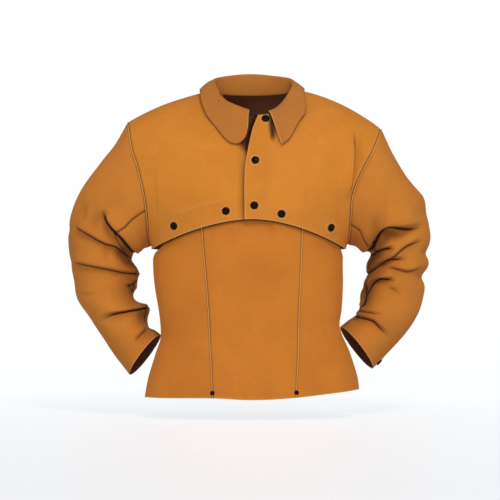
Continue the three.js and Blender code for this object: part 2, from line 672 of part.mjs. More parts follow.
function ringPoint(sideName, ring, angle) {
  const side = SIDES[sideName];
  if (ring === 0) return armholePoint(side, angle).addScaledVector(acrossArmhole(side), WELTED_SEAM);
  const { outX, outZ, inX, inZ, y, depth, drawn } = SLEEVES[sideName][ring - 1];
  const [cos, sin] = [Math.cos(degToRad(angle)), Math.sin(degToRad(angle))];
  const out = (1 + cos) / 2;
  const point = new THREE.Vector3(lerp(inX, outX, out), y - depth * sin, lerp(inZ, outZ, out));
  const upArm = new THREE.Vector3(outZ - inZ, 0, inX - outX).normalize().multiplyScalar(side.sign);
  return point.addScaledVector(upArm, -drawn * sin);
}

// A sleeve's surface before its folds: a smooth run through the rings. along: 0 armhole, 1 cuff.
function smoothSleeve(sideName, along, angle) {
  const last = SLEEVES[sideName].length;
  const at = along * last;
  const k = Math.min(Math.floor(at), last - 1);
  const near = [k - 1, k, k + 1, k + 2].map((ring) => ringPoint(sideName, clamp(ring, 0, last), angle));
  const t = at - k;
  const [p0, p1, p2, p3] = near;
  const leaving = p2.clone().sub(p0).multiplyScalar(0.5 * t * (1 - t) * (1 - t));
  const arriving = p3.clone().sub(p1).multiplyScalar(0.5 * t * t * (t - 1));
  return p1.clone().lerp(p2, t * t * (3 - 2 * t)).add(leaving).add(arriving);
}

// How far a point of the front view is above a fold's line, and how far along the line it is.
function fromFold({ inner, middle, outer }, x, z) {
  const legs = [
    { from: inner, to: middle },
    { from: middle, to: outer },
  ].map(({ from, to }, leg) => {
    const [dx, dz] = [to[0] - from[0], to[1] - from[1]];
    const t = clamp(((x - from[0]) * dx + (z - from[1]) * dz) / (dx * dx + dz * dz), 0, 1);
    const away = Math.hypot(x - from[0] - t * dx, z - from[1] - t * dz);
    const above = Math.sign(dx) * ((z - from[1]) * dx - (x - from[0]) * dz);
    return { distance: Math.sign(above) * away, along: (leg + t) / 2 };
  });
  return Math.abs(legs[0].distance) < Math.abs(legs[1].distance) ? legs[0] : legs[1];
}

function foldRise(sideName, point, outward) {
  return FOLDS[sideName].reduce((sum, fold) => {
    const towards = fold.face === "front" ? -outward.y : outward.y;
    const facing = smoothstep(towards, FOLD_FACING.from, FOLD_FACING.to);
    const { distance, along } = fromFold(fold, point.x, point.z);
    const fade = 1 - smoothstep(along, FOLD_ENDS, 1);
    const swell = Math.tanh(distance / FOLD_STEP) * Math.exp(-((distance / fold.reach) ** 2));
    return sum + facing * fade * fold.rise * swell;
  }, 0);
}

function sleevePoint(sideName, along, angle) {
  const SEWN_END = { from: 0.04, to: 0.16 }; // along the sleeve, where the armhole seam holds it smooth
  const point = smoothSleeve(sideName, along, angle);
  const centre = smoothSleeve(sideName, along, 0).lerp(smoothSleeve(sideName, along, 180), 0.5);
  const outward = point.clone().sub(centre).normalize();
  const free = smoothstep(along, SEWN_END.from, SEWN_END.to);
  return point.addScaledVector(outward, free * foldRise(sideName, point, outward));
}

function addSleeve(sideName) {
  const side = SIDES[sideName];
  const SEAM_ANGLE = 0.4; // half the gap of the seams along the arm, in degrees
  const panel = (start, end) => (u, v) => {
    return sleevePoint(sideName, v, lerp(start + SEAM_ANGLE, end - SEAM_ANGLE, u));
  };
  const turned = side.sign < 0;
  const { from, to } = UNDERSLEEVE;
  const { along } = SLEEVE_FACETS;
  const upperPanel = panel(to - 360, from);
  const upper = wall(SLEEVE_FACETS.upper, along, upperPanel, { turned, round: true });
  const under = wall(SLEEVE_FACETS.under, along, panel(from, to), { turned, round: true });
  const snap = CUFF_SNAPS.find((row) => row.side === sideName);
  const share = (snap.angle + 360 - to) / (from + 360 - to);
  const normal = normalOf(upperPanel, share, snap.along).multiplyScalar(turned ? -1 : 1);
  const place = { point: sleevePoint(sideName, snap.along, snap.angle), normal };
  add(`sleeve_upper_${sideName}`, punched(upper, [place], SNAP.holeR), TAN);
  add(`sleeve_under_${sideName}`, under, TAN);
  fasten(snap.name, PLAIN_SNAP, place);
  addArmholeWelt(sideName);
}

function addArmholeWelt(sideName) {
  const side = SIDES[sideName];
  const { width, rise, sink, reach: ends } = ARMHOLE_WELT;
  const STEP = 0.5;
  const surface = (u, v) => {
    const angle = lerp(-ends, ends, v);
    const tangent = armholePoint(side, angle + STEP).sub(armholePoint(side, angle - STEP));
    const out = new THREE.Vector3(0, tangent.z, -tangent.y).normalize();
    const lateral = out.clone().cross(tangent).normalize();
    const middle = armholePoint(side, angle).addScaledVector(acrossArmhole(side), WELTED_SEAM / 2);
    return middle.addScaledVector(out, lerp(rise, -sink, u)).addScaledVector(lateral, width / 2);
  };
  const strip = wall(1, ARMHOLE_WELT_FACETS, surface, { thickness: width, turned: true });
  add(`armhole_welt_${sideName}`, strip, PALE_TAN);
}

// Bib

const bibHemZ = through(BIB_HEM, "x", "z");
const bibCorner = through(BIB_CORNER, "z", "share");
const onBib = inView(bibY);

function bibEdgeX(side, z) {
  return side.sign * side.halfAt(z) * BIB_REACH * bibCorner(z);
}

function addBib() {
  const half = BIB_WELT.width / 2 + SEAM_GAP;
  const seams = {};
  for (const [name, side] of Object.entries(SIDES)) {
    const seamX = through(BIB_SEAMS[name], "z", "x");
    const hem = bibHemZ(side.sign * BIB_SEAMS[name][0].x);
    const topZ = hemZ(BIB_SEAMS[name].at(-1).x * side.sign) + BIB_OVERLAP;
    // The seam in the front view, moved outwards by so much, from the hem (0) to the top (1).
    const line = (off) => (v) => {
      const z = lerp(hem, topZ, v);
      return [side.sign * (seamX(z) + off), z];
    };
    const rivetZ = hem + RIVET.aboveHem;
    const rivet = placeOn(bibY, side.sign * seamX(rivetZ), rivetZ);
    seams[name] = { line, rivet, weltFoot: (RIVET.aboveHem + RIVET.headR + RIVET.clear) / (topZ - hem) };
    fasten(`bib_rivet_${name}`, RIVET_BODY, rivet);
  }
  const studs = snapPlaces.filter((snap) => snap.under === "bib").map(onLowerLayer);
  const rivets = Object.values(seams).map(({ rivet }) => rivet);

  // A panel between a start and an end edge, with the bib's hem below and its top edge above.
  const panel = (start, end, top, columns, turned) => {
    const bottom = (u) => {
      const x = lerp(start(0)[0], end(0)[0], u);
      const shift = lerp(start(0)[1] - bibHemZ(start(0)[0]), end(0)[1] - bibHemZ(end(0)[0]), u);
      return [x, bibHemZ(x) + shift];
    };
    const patch = coons(bottom, top, start, end);
    const sheet = wall(columns, BIB_FACETS.up, (u, v) => onBib(patch(u, easeOut(v))), { turned });
    return punched(punched(sheet, studs, SNAP.holeR), rivets, RIVET.holeR);
  };

  const inner = [seams.right.line(-half), seams.left.line(-half)];
  const topMiddle = (u) => {
    const [from, to] = [inner[0](1), inner[1](1)];
    const x = lerp(from[0], to[0], u);
    const shift = lerp(from[1] - hemZ(from[0]), to[1] - hemZ(to[0]), u);
    return [x, hemZ(x) + shift];
  };
  add("bib_center", panel(...inner, topMiddle, BIB_FACETS.center, false), TAN);

  for (const [name, side] of Object.entries(SIDES)) {
    const start = seams[name].line(half);
    const cornerZ = BIB_CORNER.at(-1).z;
    const footZ = (side.sign < 0 ? BIB_HEM[0] : BIB_HEM.at(-1)).z;
    const end = (v) => {
      const z = lerp(footZ, cornerZ, v);
      return [bibEdgeX(side, z), z];
    };
    const top = (u) => [lerp(start(1)[0], end(1)[0], u), lerp(start(1)[1], end(1)[1], u)];
    add(`bib_side_${name}`, panel(start, end, top, BIB_FACETS.side, side.sign < 0), TAN);

    const middle = seams[name].line(0);
    const welt = (u, v) => {
      const [x, z] = middle(lerp(seams[name].weltFoot, 1, v));
      const { point, normal } = placeOn(bibY, x, z);
      point.addScaledVector(normal, lerp(-BIB_WELT.sink, BIB_WELT.rise, u));
      return point.setX(point.x - BIB_WELT.width / 2);
    };
    add(`bib_welt_${name}`, wall(1, BIB_FACETS.up, welt, { thickness: BIB_WELT.width }), PALE_TAN);
  }
}

addCape();
addCollar();
for (const sideName of Object.keys(SIDES)) addSleeve(sideName);
addBib();

export default group;
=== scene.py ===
import bpy
import numpy as np
from mathutils import Matrix, Vector


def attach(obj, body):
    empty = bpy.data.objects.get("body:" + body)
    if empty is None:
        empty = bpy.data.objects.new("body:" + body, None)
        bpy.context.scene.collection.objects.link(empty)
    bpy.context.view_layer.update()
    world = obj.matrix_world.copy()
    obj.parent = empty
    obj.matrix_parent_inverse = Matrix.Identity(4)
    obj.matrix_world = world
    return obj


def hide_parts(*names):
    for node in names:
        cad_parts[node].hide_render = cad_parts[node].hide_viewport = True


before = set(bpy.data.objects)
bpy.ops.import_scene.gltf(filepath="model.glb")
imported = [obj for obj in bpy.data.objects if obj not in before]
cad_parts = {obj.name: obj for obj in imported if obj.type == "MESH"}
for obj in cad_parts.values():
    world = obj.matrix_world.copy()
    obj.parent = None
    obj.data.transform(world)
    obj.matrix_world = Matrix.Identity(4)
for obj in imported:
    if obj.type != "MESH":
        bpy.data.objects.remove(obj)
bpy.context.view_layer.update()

# Cape back
# One panel of split cowhide across the shoulder blades, from the shoulder seams down to a plain cut hem.
# The suede side is out. It is sewn to the two fronts along the shoulders and the short side seams.
MM = 0.001
LEATHER = 1.6
SEAM_LAP = 0.4
SHOULDER_Y = 5
SHOULDER_TOP = 12
ROUNDNESS = 2.4
ROLL_POWER = 0.45
BACK = {"depth": 112, "roll_middle": 200, "roll_tip": 150}
ARMHOLE = {"depth": 0.66, "full": 0.5, "power": 0.5}
NECK = {"half": 74, "front_x": 8, "front_z": -41.5, "back_z": 1, "power": 0.8}
HEM = {"middle": -228, "side": -281, "arch": 1.8, "back_drop": 9}
SIDES = {
    "right": {
        "sign": -1,
        "tip": (224, -52),
        "slope": 1.95,
        "underarm": -276,
        "half": [
            (-546, 198), (-508, 190), (-470, 179), (-436, 170), (-346, 180), (-300, 184), (-281, 181),
            (-262, 185), (-202, 190), (-166, 197), (-130, 206), (-103, 215), (-52, 224),
        ],
    },
    "left": {
        "sign": 1,
        "tip": (232, -65),
        "slope": 2.35,
        "underarm": -273,
        "half": [
            (-533, 194), (-508, 191), (-470, 180), (-421, 162), (-390, 165), (-346, 167), (-281, 168),
            (-268, 172), (-220, 175), (-184, 178), (-139, 197), (-106, 215), (-65, 232),
        ],
    },
}


def smoothstep(x, low, high):
    t = np.clip((x - low) / (high - low), 0, 1)
    return t * t * (3 - 2 * t)


def mix(a, b, t):
    return a + (b - a) * t


def bell(far, width):
    """1 where far is 0, falling off to both sides."""
    return np.exp(-((far / width) ** 2))


def eased(a, b, leaving, arriving, t):
    """From a to b as t goes from 0 to 1, with the slopes that are given at both ends."""
    return mix(a, b, t * t * (3 - 2 * t)) + leaving * t * (1 - t) ** 2 + arriving * t * t * (t - 1)


def unit(vectors):
    TINY = 1e-9
    return vectors / np.maximum(np.linalg.norm(vectors, axis=-1, keepdims=True), TINY)


def through(rows):
    """A smooth curve through (key, value) rows whose keys rise."""
    keys, values = np.array(rows, float).T
    last = len(keys) - 1
    before = np.maximum(np.arange(last + 1) - 1, 0)
    after = np.minimum(np.arange(last + 1) + 1, last)
    slopes = (values[after] - values[before]) / (keys[after] - keys[before])

    def at(key):
        i = np.clip(np.searchsorted(keys, key) - 1, 0, last - 1)
        span = keys[i + 1] - keys[i]
        t = np.clip((key - keys[i]) / span, 0, 1)
        return eased(values[i], values[i + 1], span * slopes[i], span * slopes[i + 1], t)

    return at


for side in SIDES.values():
    side["half_at"] = through(side["half"])


def by_side(x, value):
    """value(side) for each x, right of the middle or left of it."""
    return np.where(x < 0, value(SIDES["right"]), value(SIDES["left"]))


def shoulder_z(x):
    def height(side):
        share = (np.abs(x) / side["tip"][0]) ** side["slope"]
        return SHOULDER_TOP - (SHOULDER_TOP - side["tip"][1]) * share

    return by_side(x, height)


def turn_half(side, z):
    """Half-width at which the surface would have turned right round."""
    up = np.clip((z - side["underarm"]) / (side["tip"][1] - side["underarm"]), 0, 1)
    filled = np.sin(np.pi / 2 * np.minimum(1, up / ARMHOLE["full"]))
    depth = ARMHOLE["depth"] * filled ** ARMHOLE["power"]
    return side["half_at"](z) / (1 - depth**ROUNDNESS) ** (1 / ROUNDNESS)


def reach(x, z, depth, roll_middle, roll_tip):
    out = np.minimum(np.abs(x) / by_side(x, lambda side: turn_half(side, z)), 1)
    to_tip = np.minimum(np.abs(x) / by_side(x, lambda side: side["tip"][0]), 1)
    roll = mix(roll_middle, roll_tip, to_tip**2)
    down = np.clip((shoulder_z(x) - z) / roll, 0, 1)
    around = (1 - out**ROUNDNESS) ** (1 / ROUNDNESS)
    return depth * around * np.sin(np.pi / 2 * down) ** ROLL_POWER


def back_y(x, z):
    return SHOULDER_Y + reach(x, z, **BACK)


def neckline(angle, inset=0):
    """The neckline in the front view, at degrees round the neck from the middle of the back."""
    sin, cos = np.sin(np.radians(angle)), np.cos(np.radians(angle))
    half = NECK["half"] - inset
    x = half * sin + NECK["front_x"] * (1 - cos) / 2
    low = np.where(cos < 0, NECK["front_z"], NECK["back_z"]) + inset
    at_side = shoulder_z(np.where(sin < 0, -half, half))
    return np.stack([x, mix(at_side, low, np.abs(cos) ** NECK["power"])], -1)


def shoulder_point(side, t):
    start = neckline(side["sign"] * 90.0)[0] * side["sign"]
    x = side["sign"] * mix(start, side["tip"][0], t)
    return np.stack([x, shoulder_z(x)], -1)


def side_edge(side):
    def edge(v):
        z = mix(HEM["side"], side["tip"][1], v)
        return np.stack([side["sign"] * side["half_at"](z), z], -1)

    return edge


def spanned(edges, u, v):
    """Points of the front view spanned between four edges: bottom, top, start and end."""
    bottom, top, start, end = edges
    u, v = u[None, :, None], v[:, None, None]
    low = mix(bottom(0.0), bottom(1.0), u)
    high = mix(top(0.0), top(1.0), u)
    across = mix(bottom(u[0, :, 0])[None], top(u[0, :, 0])[None], v)
    along = mix(start(v[:, 0, 0])[:, None], end(v[:, 0, 0])[:, None], u)
    return across + along - mix(low, high, v)


def on_body(plane, depth_at):
    x, z = plane[..., 0], plane[..., 1]
    return np.stack([x, depth_at(x, z), z], -1)


def normals(points, turned):
    """Unit normals of a grid of points, outwards."""
    across, along = np.gradient(points, axis=1), np.gradient(points, axis=0)
    normal = np.cross(across, along) * (-1 if turned else 1)
    return unit(normal)


def from_edge(points, axis, end):
    """How far each point of a grid is from its first or last row or column, along the leather."""
    steps = np.linalg.norm(np.diff(points, axis=axis), axis=-1)
    if end:
        steps = np.flip(steps, axis)
    far = np.cumsum(steps, axis)
    far = np.concatenate([np.zeros_like(np.take(far, [0], axis)), far], axis)
    return np.flip(far, axis) if end else far


def seam_dip(far, depth=1.8, width=2.6):
    """How far the leather is drawn in towards a sewn edge."""
    return -depth * bell(far, width)


def undulation(points, size):
    """The slow unevenness of a hide that has been worn."""
    SHORT_SHARE = 0.45
    x, y, z = np.moveaxis(points, -1, 0)
    long_wave = np.sin(0.031 * x + 0.017 * z + 1.3) * np.sin(0.023 * z - 0.012 * x + 0.4)
    short_wave = np.sin(0.071 * x - 0.043 * y + 0.6) * np.sin(0.057 * z + 0.021 * y + 2.1)
    return size * (long_wave + SHORT_SHARE * short_wave)


def edge_distances(points):
    """How far each point of a grid is from its foot, head, start and end."""
    return {
        "foot": from_edge(points, 0, False),
        "head": from_edge(points, 0, True),
        "start": from_edge(points, 1, False),
        "end": from_edge(points, 1, True),
    }


def cut_leather(name, outside, turned=False, thickness=LEATHER, raw=(), crease=0.0, rubbed=0.0, trim=None):
    """A closed piece of leather: a grid of points in millimetres, its back, and a rounded cut edge.

    The edges named in raw are left pale as they were cut, and the others are darkened by their seams."""
    SEAM_DARK = {"share": 0.55, "width": 1.9}
    CUT_PALE = {"share": 0.85, "inside": 0.5, "width": 1.1}
    CUT_BULGE = 0.3
    CUT_FLESH = 0.3
    SHARP = np.radians(60)
    rows, columns = outside.shape[:2]
    pale, seam = np.zeros((rows, columns)), np.zeros((rows, columns))
    for edge, far in edge_distances(outside).items():
        if edge in raw:
            pale = np.maximum(pale, bell(far, CUT_PALE["width"]))
        else:
            seam = np.maximum(seam, bell(far, SEAM_DARK["width"]))
    inside = outside - thickness * normals(outside, turned)
    if trim:
        outside, inside = trim(outside), trim(inside)
    count = rows * columns
    index = np.arange(count).reshape(rows, columns)
    loop = np.concatenate([index[0, :-1], index[:-1, -1], index[-1, :0:-1], index[:0:-1, 0]])
    inner = index[np.clip(np.arange(rows), 1, rows - 2)][:, np.clip(np.arange(columns), 1, columns - 2)]
    flat_out, flat_in = outside.reshape(-1, 3), inside.reshape(-1, 3)
    away = unit(flat_out[loop] - flat_out[inner.reshape(-1)[loop]])
    middle = (flat_out[loop] + flat_in[loop]) / 2 + CUT_BULGE * away
    if trim:
        middle = trim(middle)
    points = np.concatenate([flat_out, flat_in, middle])

    a, b, c, d = index[:-1, :-1], index[:-1, 1:], index[1:, 1:], index[1:, :-1]
    front = np.stack([a, b, c, d], -1).reshape(-1, 4)
    rear = front[:, ::-1] + count
    ring = 2 * count + np.arange(len(loop))
    after = np.roll(np.arange(len(loop)), -1)
    upper = np.stack([loop[after], loop, ring, ring[after]], -1)
    lower = np.stack([ring[after], ring, loop + count, loop[after] + count], -1)
    faces = np.concatenate([front, rear, upper, lower])
    if turned:
        faces = faces[:, ::-1]

    mesh = bpy.data.meshes.new(name)
    mesh.from_pydata((points * MM).tolist(), [], faces.tolist())
    mesh.polygons.foreach_set("use_smooth", np.ones(len(faces), bool))
    none = np.zeros(count)
    # crease brings painted shade from folds, crooks, laps, the collar's leaves and the cape's hem; the seams
    # are darkened as well
    dark = np.clip(crease + SEAM_DARK["share"] * seam, 0, 1)
    pale, seam = pale.reshape(-1), seam.reshape(-1)
    marks = {
        "flesh_side": (none, none + 1, np.full(len(loop), CUT_FLESH)),
        "cut_edge": (CUT_PALE["share"] * pale, CUT_PALE["inside"] * pale, pale[loop]),
        "crease": (dark, none, SEAM_DARK["share"] * seam[loop] * (1 - pale[loop])),
        "rubbed": (np.zeros((rows, columns)) + rubbed, none, np.zeros(len(loop))),
    }
    for key, parts in marks.items():
        value = np.concatenate([part.reshape(-1) for part in parts]).astype(np.float32)
        mesh.attributes.new(key, "FLOAT", "POINT").data.foreach_set("value", value)
    mesh.set_sharp_from_angle(angle=SHARP)
    piece = bpy.data.objects.new(name, mesh)
    bpy.context.scene.collection.objects.link(piece)
    return piece


def set_inputs(node, **values):
    for key, value in values.items():
        node.inputs[key.replace("_", " ")].default_value = value


def node_maker(tree):
    """Short calls for adding and linking the nodes of a material or of the world."""

    def add(kind, **values):
        node = tree.nodes.new(kind)
        for key, value in values.items():
            if hasattr(node, key):
                setattr(node, key, value)
            else:
                set_inputs(node, **{key: value})
        return node

    return add, tree.links.new


def new_material(name):
    """A material, the calls for its nodes, and its shader."""
    material = bpy.data.materials.new(name)
    material.use_nodes = True
    return material, *node_maker(material.node_tree), material.node_tree.nodes["Principled BSDF"]


def tinted(add, link, base, colour, factor):
    """A colour laid over a base, itself a colour or a socket, by a factor."""
    blend = add("ShaderNodeMix", data_type="RGBA")
    under, over = [socket for socket in blend.inputs if socket.type == "RGBA"][:2]
    if isinstance(base, tuple):
        under.default_value = (*base, 1)
    else:
        link(base, under)
    over.default_value = (*colour, 1)
    link(factor, blend.inputs["Factor"])
    return next(socket for socket in blend.outputs if socket.type == "RGBA")


def ranged(add, link, value, low, high, to_low, to_high):
    node = add("ShaderNodeMapRange", From_Min=low, From_Max=high, To_Min=to_low, To_Max=to_high)
    link(value, node.inputs["Value"])
    return node.outputs["Result"]


def suede(name, tan, shaded, brushed):
    """Split cowhide, suede side out: brushed patches, short nap, painted shade in creases and under laps,
    darker seams and pale cut edges.
    """
    # the colour of painted shade in folds, crooks, under laps and under the hem, and of the dark seams
    SHADE_AND_SEAM_DARK = (0.022, 0.006, 0.003)
    FLESH = (0.2, 0.072, 0.035)
    PALE_EDGE = (0.66, 0.33, 0.105)
    material, add, link, shader = new_material(name)
    place = add("ShaderNodeTexCoord").outputs["Object"]

    def noise(scale, detail, distortion=0.0):
        node = add("ShaderNodeTexNoise", Scale=scale, Detail=detail, Distortion=distortion)
        link(place, node.inputs["Vector"])
        return node.outputs["Fac"]

    patches = ranged(add, link, noise(6.0, 3.0, 0.8), 0.4, 0.7, 0.0, 0.6)
    strokes = ranged(add, link, noise(28.0, 4.0, 1.6), 0.48, 0.78, 0.0, 0.3)
    nap = noise(420.0, 4.0)
    speck = ranged(add, link, nap, 0.3, 0.5, 0.25, 0.0)
    marks = {}
    for key in ("rubbed", "flesh_side", "cut_edge", "crease"):
        marks[key] = add("ShaderNodeAttribute", attribute_name=key).outputs["Fac"]

    colour = tinted(add, link, tan, shaded, patches)
    colour = tinted(add, link, colour, brushed, strokes)
    colour = tinted(add, link, colour, shaded, speck)
    colour = tinted(add, link, colour, PALE_EDGE, marks["rubbed"])
    colour = tinted(add, link, colour, FLESH, marks["flesh_side"])
    colour = tinted(add, link, colour, PALE_EDGE, marks["cut_edge"])
    colour = tinted(add, link, colour, SHADE_AND_SEAM_DARK, marks["crease"])
    link(colour, shader.inputs["Base Color"])
    link(ranged(add, link, nap, 0.3, 0.7, 1.0, 0.85), shader.inputs["Roughness"])
    set_inputs(shader, Specular_IOR_Level=0.12)
    set_inputs(shader, Sheen_Weight=0.06, Sheen_Roughness=0.5, Sheen_Tint=(1.0, 0.6, 0.3, 1))

    grain = add("ShaderNodeBump", Strength=0.3, Distance=0.0007)
    link(noise(130.0, 6.0, 0.4), grain.inputs["Height"])
    fibres = add("ShaderNodeBump", Strength=0.25, Distance=0.0004)
    link(nap, fibres.inputs["Height"])
    link(grain.outputs["Normal"], fibres.inputs["Normal"])
    link(fibres.outputs["Normal"], shader.inputs["Normal"])
    return material


CAPE_SUEDE = suede(
    "cape_suede", tan=(0.64, 0.225, 0.027), shaded=(0.5, 0.162, 0.022), brushed=(0.7, 0.27, 0.042)
)


def in_frame(piece, node):
    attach(piece, "root")
    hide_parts(node)


def sewn_in(piece, node, material):
    """Gives a piece its finish and its place in the frame."""
    piece.data.materials.append(material)
    in_frame(piece, node)
    return piece


def hem_half(x):
    return by_side(x, lambda side: side["half_at"](HEM["side"]))


def back_edges():
    right, left = SIDES["right"], SIDES["left"]
    SHOULDER_SHARE = 0.34

    def bottom(u):
        x = mix(-right["half_at"](HEM["side"]), left["half_at"](HEM["side"]), u)
        return np.stack([x, HEM["side"] - HEM["back_drop"] * (1 - (x / hem_half(x)) ** 2)], -1)

    def top(u):
        u = np.asarray(u, float)
        at_right = shoulder_point(right, np.clip(1 - u / SHOULDER_SHARE, 0, 1))
        at_left = shoulder_point(left, np.clip(1 - (1 - u) / SHOULDER_SHARE, 0, 1))
        between = np.clip((u - SHOULDER_SHARE) / (1 - 2 * SHOULDER_SHARE), 0, 1)
        round_neck = neckline(mix(-90, 90, between))
        u = u[..., None]
        return np.where(u < SHOULDER_SHARE, at_right, np.where(u > 1 - SHOULDER_SHARE, at_left, round_neck))

    return bottom, top, side_edge(right), side_edge(left)


def with_edges(spread):
    """Places along a side, with two more close to each end, where the cut edge is."""
    CLOSE = np.array([0.0035, 0.008])
    CLEAR = 0.012
    inner = spread[(spread > CLEAR) & (spread < 1 - CLEAR)]
    return np.concatenate([[0], CLOSE, inner, 1 - CLOSE[::-1], [1]])


def closing_up(count):
    return with_edges(np.sin(np.linspace(0, np.pi / 2, count)))


def closing_both(count):
    return with_edges((1 - np.cos(np.linspace(0, np.pi, count))) / 2)


def behind_seam(points):
    kept = points.copy()
    kept[..., 1] = np.maximum(kept[..., 1], SHOULDER_Y - SEAM_LAP / 2)
    return kept


def settled(points, turned, shift):
    """A grid moved out along its own normals."""
    return points + normals(points, turned) * shift[..., None]


def clear_of(far, edges):
    """0 at the sewn edges that are named, rising to 1 away from them."""
    CLEAR = 30
    return np.prod([smoothstep(far[edge], 0, CLEAR) for edge in edges], axis=0)


BACK_COLUMNS, BACK_ROWS = 150, 110
SHOULDER_DIP = {"depth": 0.7, "width": 2.2}
back_grid = on_body(spanned(back_edges(), closing_both(BACK_COLUMNS), closing_up(BACK_ROWS)), back_y)
far = edge_distances(back_grid)
shift = clear_of(far, ("start", "end", "head")) * undulation(back_grid, size=1.8)
shift += seam_dip(far["start"]) + seam_dip(far["end"]) + seam_dip(far["head"], **SHOULDER_DIP)
back_grid = settled(back_grid, True, shift)
cape_back = cut_leather("cape_back_leather", back_grid, turned=True, raw=("foot",), trim=behind_seam)
sewn_in(cape_back, "cape_back", CAPE_SUEDE)

# Cape fronts
# Two fronts of the same hide, with an arched hem. The wearer's left one laps over the right one, which
# sinks behind it. A row of stitching holds the turned-back edge of the upper one.
LAP = 6
CHEST = {"roll_middle": 260, "roll_tip": 150}
WAIST_DEPTH = through([(-546, 119), (-430, 115), (-281, 123)])
UNDERLAP = {"hem_x": 24, "neck_x": 38, "start": -30, "end": -16}
PLACKET = [(-229, -14), (-141, -13.5), (-105, -8), (-80, -3), (-62, 2), (-41, 10.5)]
placket_x = through(PLACKET)


def chest_y(x, z):
    return SHOULDER_Y - reach(x, z, depth=WAIST_DEPTH(z), **CHEST)


def underlap_sink(x):
    return LAP * smoothstep(x, UNDERLAP["start"], UNDERLAP["end"])


def under_front_y(x, z):
    return chest_y(x, z) + underlap_sink(x)


def hem_z(x):
    return mix(HEM["middle"], HEM["side"], np.minimum(np.abs(x) / hem_half(x), 1) ** HEM["arch"])


def neck_angle(sign, x):
    """The angle at which the front of the neckline passes an x, closed in on step by step."""
    STEPS = 8
    sin = 0.0
    for _ in range(STEPS):
        sin = (x - NECK["front_x"] * (1 + np.sqrt(1 - sin**2)) / 2) / NECK["half"]
    return sign * (180 - np.degrees(np.arcsin(sign * sin)))


def front_edges(side, front_edge):
    NECK_SHARE = 0.42
    start_angle = neck_angle(side["sign"], front_edge(1.0)[0])

    def bottom(u):
        x = mix(front_edge(0.0)[0], side["sign"] * side["half_at"](HEM["side"]), u)
        return np.stack([x, hem_z(x)], -1)

    def top(u):
        u = np.asarray(u, float)
        round_neck = neckline(mix(start_angle, side["sign"] * 90, np.clip(u / NECK_SHARE, 0, 1)))
        on_shoulder = shoulder_point(side, np.clip((u - NECK_SHARE) / (1 - NECK_SHARE), 0, 1))
        return np.where((u < NECK_SHARE)[..., None], round_neck, on_shoulder)

    return bottom, top, front_edge, side_edge(side)


UPPER_TOP = neckline(neck_angle(1, PLACKET[-1][1]))
LOWER_TOP = neckline(neck_angle(-1, UNDERLAP["neck_x"]))


def upper_front_edge(v):
    z = mix(hem_z(np.float64(PLACKET[0][1])), UPPER_TOP[1], v)
    return np.stack([placket_x(z), z], -1)


def lower_front_edge(v):
    x = mix(UNDERLAP["hem_x"], UNDERLAP["neck_x"], np.asarray(v, float))
    return np.stack([x, mix(hem_z(np.float64(UNDERLAP["hem_x"])), LOWER_TOP[1], v)], -1)


def in_front_of_seam(points):
    kept = points.copy()
    kept[..., 1] = np.minimum(kept[..., 1], SHOULDER_Y + SEAM_LAP / 2)
    return kept


def smooth_line(corners):
    """A polyline rounded through its corners."""
    STEPS = 8
    p = np.array(corners, float)
    p = np.concatenate([[2 * p[0] - p[1]], p, [2 * p[-1] - p[-2]]])
    t = np.linspace(0, 1, STEPS, endpoint=False)[:, None]
    runs = []
    for p0, p1, p2, p3 in zip(p, p[1:], p[2:], p[3:]):
        runs.append(eased(p1, p2, (p2 - p0) / 2, (p3 - p1) / 2, t))
    return np.concatenate([*runs, p[-2:-1]])


def from_line(x, z, line):
    """Signed distance from a line in the front view, how far along it, and the way off to its left.

    Past its ends the line runs straight on. Left of its run is the plus side."""
    shape = x.shape
    at = np.stack([x.ravel(), z.ravel()], -1)[:, None]
    start, step = line[:-1][None], np.diff(line, axis=0)[None]
    length = np.linalg.norm(step, axis=-1)
    t = ((at - start) * step).sum(-1) / length**2
    low = np.zeros(t.shape[1])
    low[0] = -np.inf
    high = np.ones(t.shape[1])
    high[-1] = np.inf
    t = np.clip(t, low, high)
    off = at - start - t[..., None] * step
    away = np.linalg.norm(off, axis=-1)
    near = np.argmin(away, axis=1)
    pick = np.arange(len(near))
    run = step[0, near] / length[0, near][:, None]
    left = np.stack([-run[:, 1], run[:, 0]], -1)
    sign = np.where((off[pick, near] * left).sum(-1) < 0, -1.0, 1.0)
    before = np.concatenate([[0], np.cumsum(length[0])])
    along = before[near] + t[pick, near] * length[0, near]
    return (sign * away[pick, near]).reshape(shape), along.reshape(shape), left.reshape(*shape, 2), before[-1]


def folded(points, outward, facing, folds):
    """Lays folds into leather. Left of a fold's line it stands out and hangs over what is right of it.

    A fold that fades over no length at an end runs on past it for a little."""
    PAST_END = 12
    STEP = 2.4
    OVERHANG = 12
    UNDER_EDGE = {"least": 1.6, "lap_share": 0.6}
    LINE = {"width": 1.0, "spread": 0.009, "dark": 1.35, "full_rise": 7}
    SHADE = {"dark": 0.18, "below": 7, "width": 9}
    moved, crease = points.copy(), np.zeros(points.shape[:2])
    for rise, width, lap, fade_in, fade_out, corners in folds:
        past, along, left, total = from_line(points[..., 0], points[..., 2], smooth_line(corners))
        far = past - (UNDER_EDGE["least"] + UNDER_EDGE["lap_share"] * lap)
        start = (0, fade_in) if fade_in else (-PAST_END, 0)
        end = (total - fade_out, total) if fade_out else (total, total + PAST_END)
        hold = facing * smoothstep(along, *start) * (1 - smoothstep(along, *end))
        swell = rise * np.tanh(far / STEP) * bell(far, width)
        moved += outward * (hold * swell)[..., None]
        over = lap * hold**2 * (1 + np.tanh(far / STEP)) / 2 * bell(far, OVERHANG)
        moved[..., 0] -= left[..., 0] * over
        moved[..., 2] -= left[..., 1] * over
        # where a fold laps over, a dark line along it and a softer band below it are painted shade
        if lap:
            line = LINE["dark"] * bell(past, LINE["width"] + LINE["spread"] * rise**2)
            shade = SHADE["dark"] * bell(far + SHADE["below"], SHADE["width"])
            crease = np.maximum(crease, hold * min(rise / LINE["full_rise"], 1) * (line + shade))
    return moved, crease


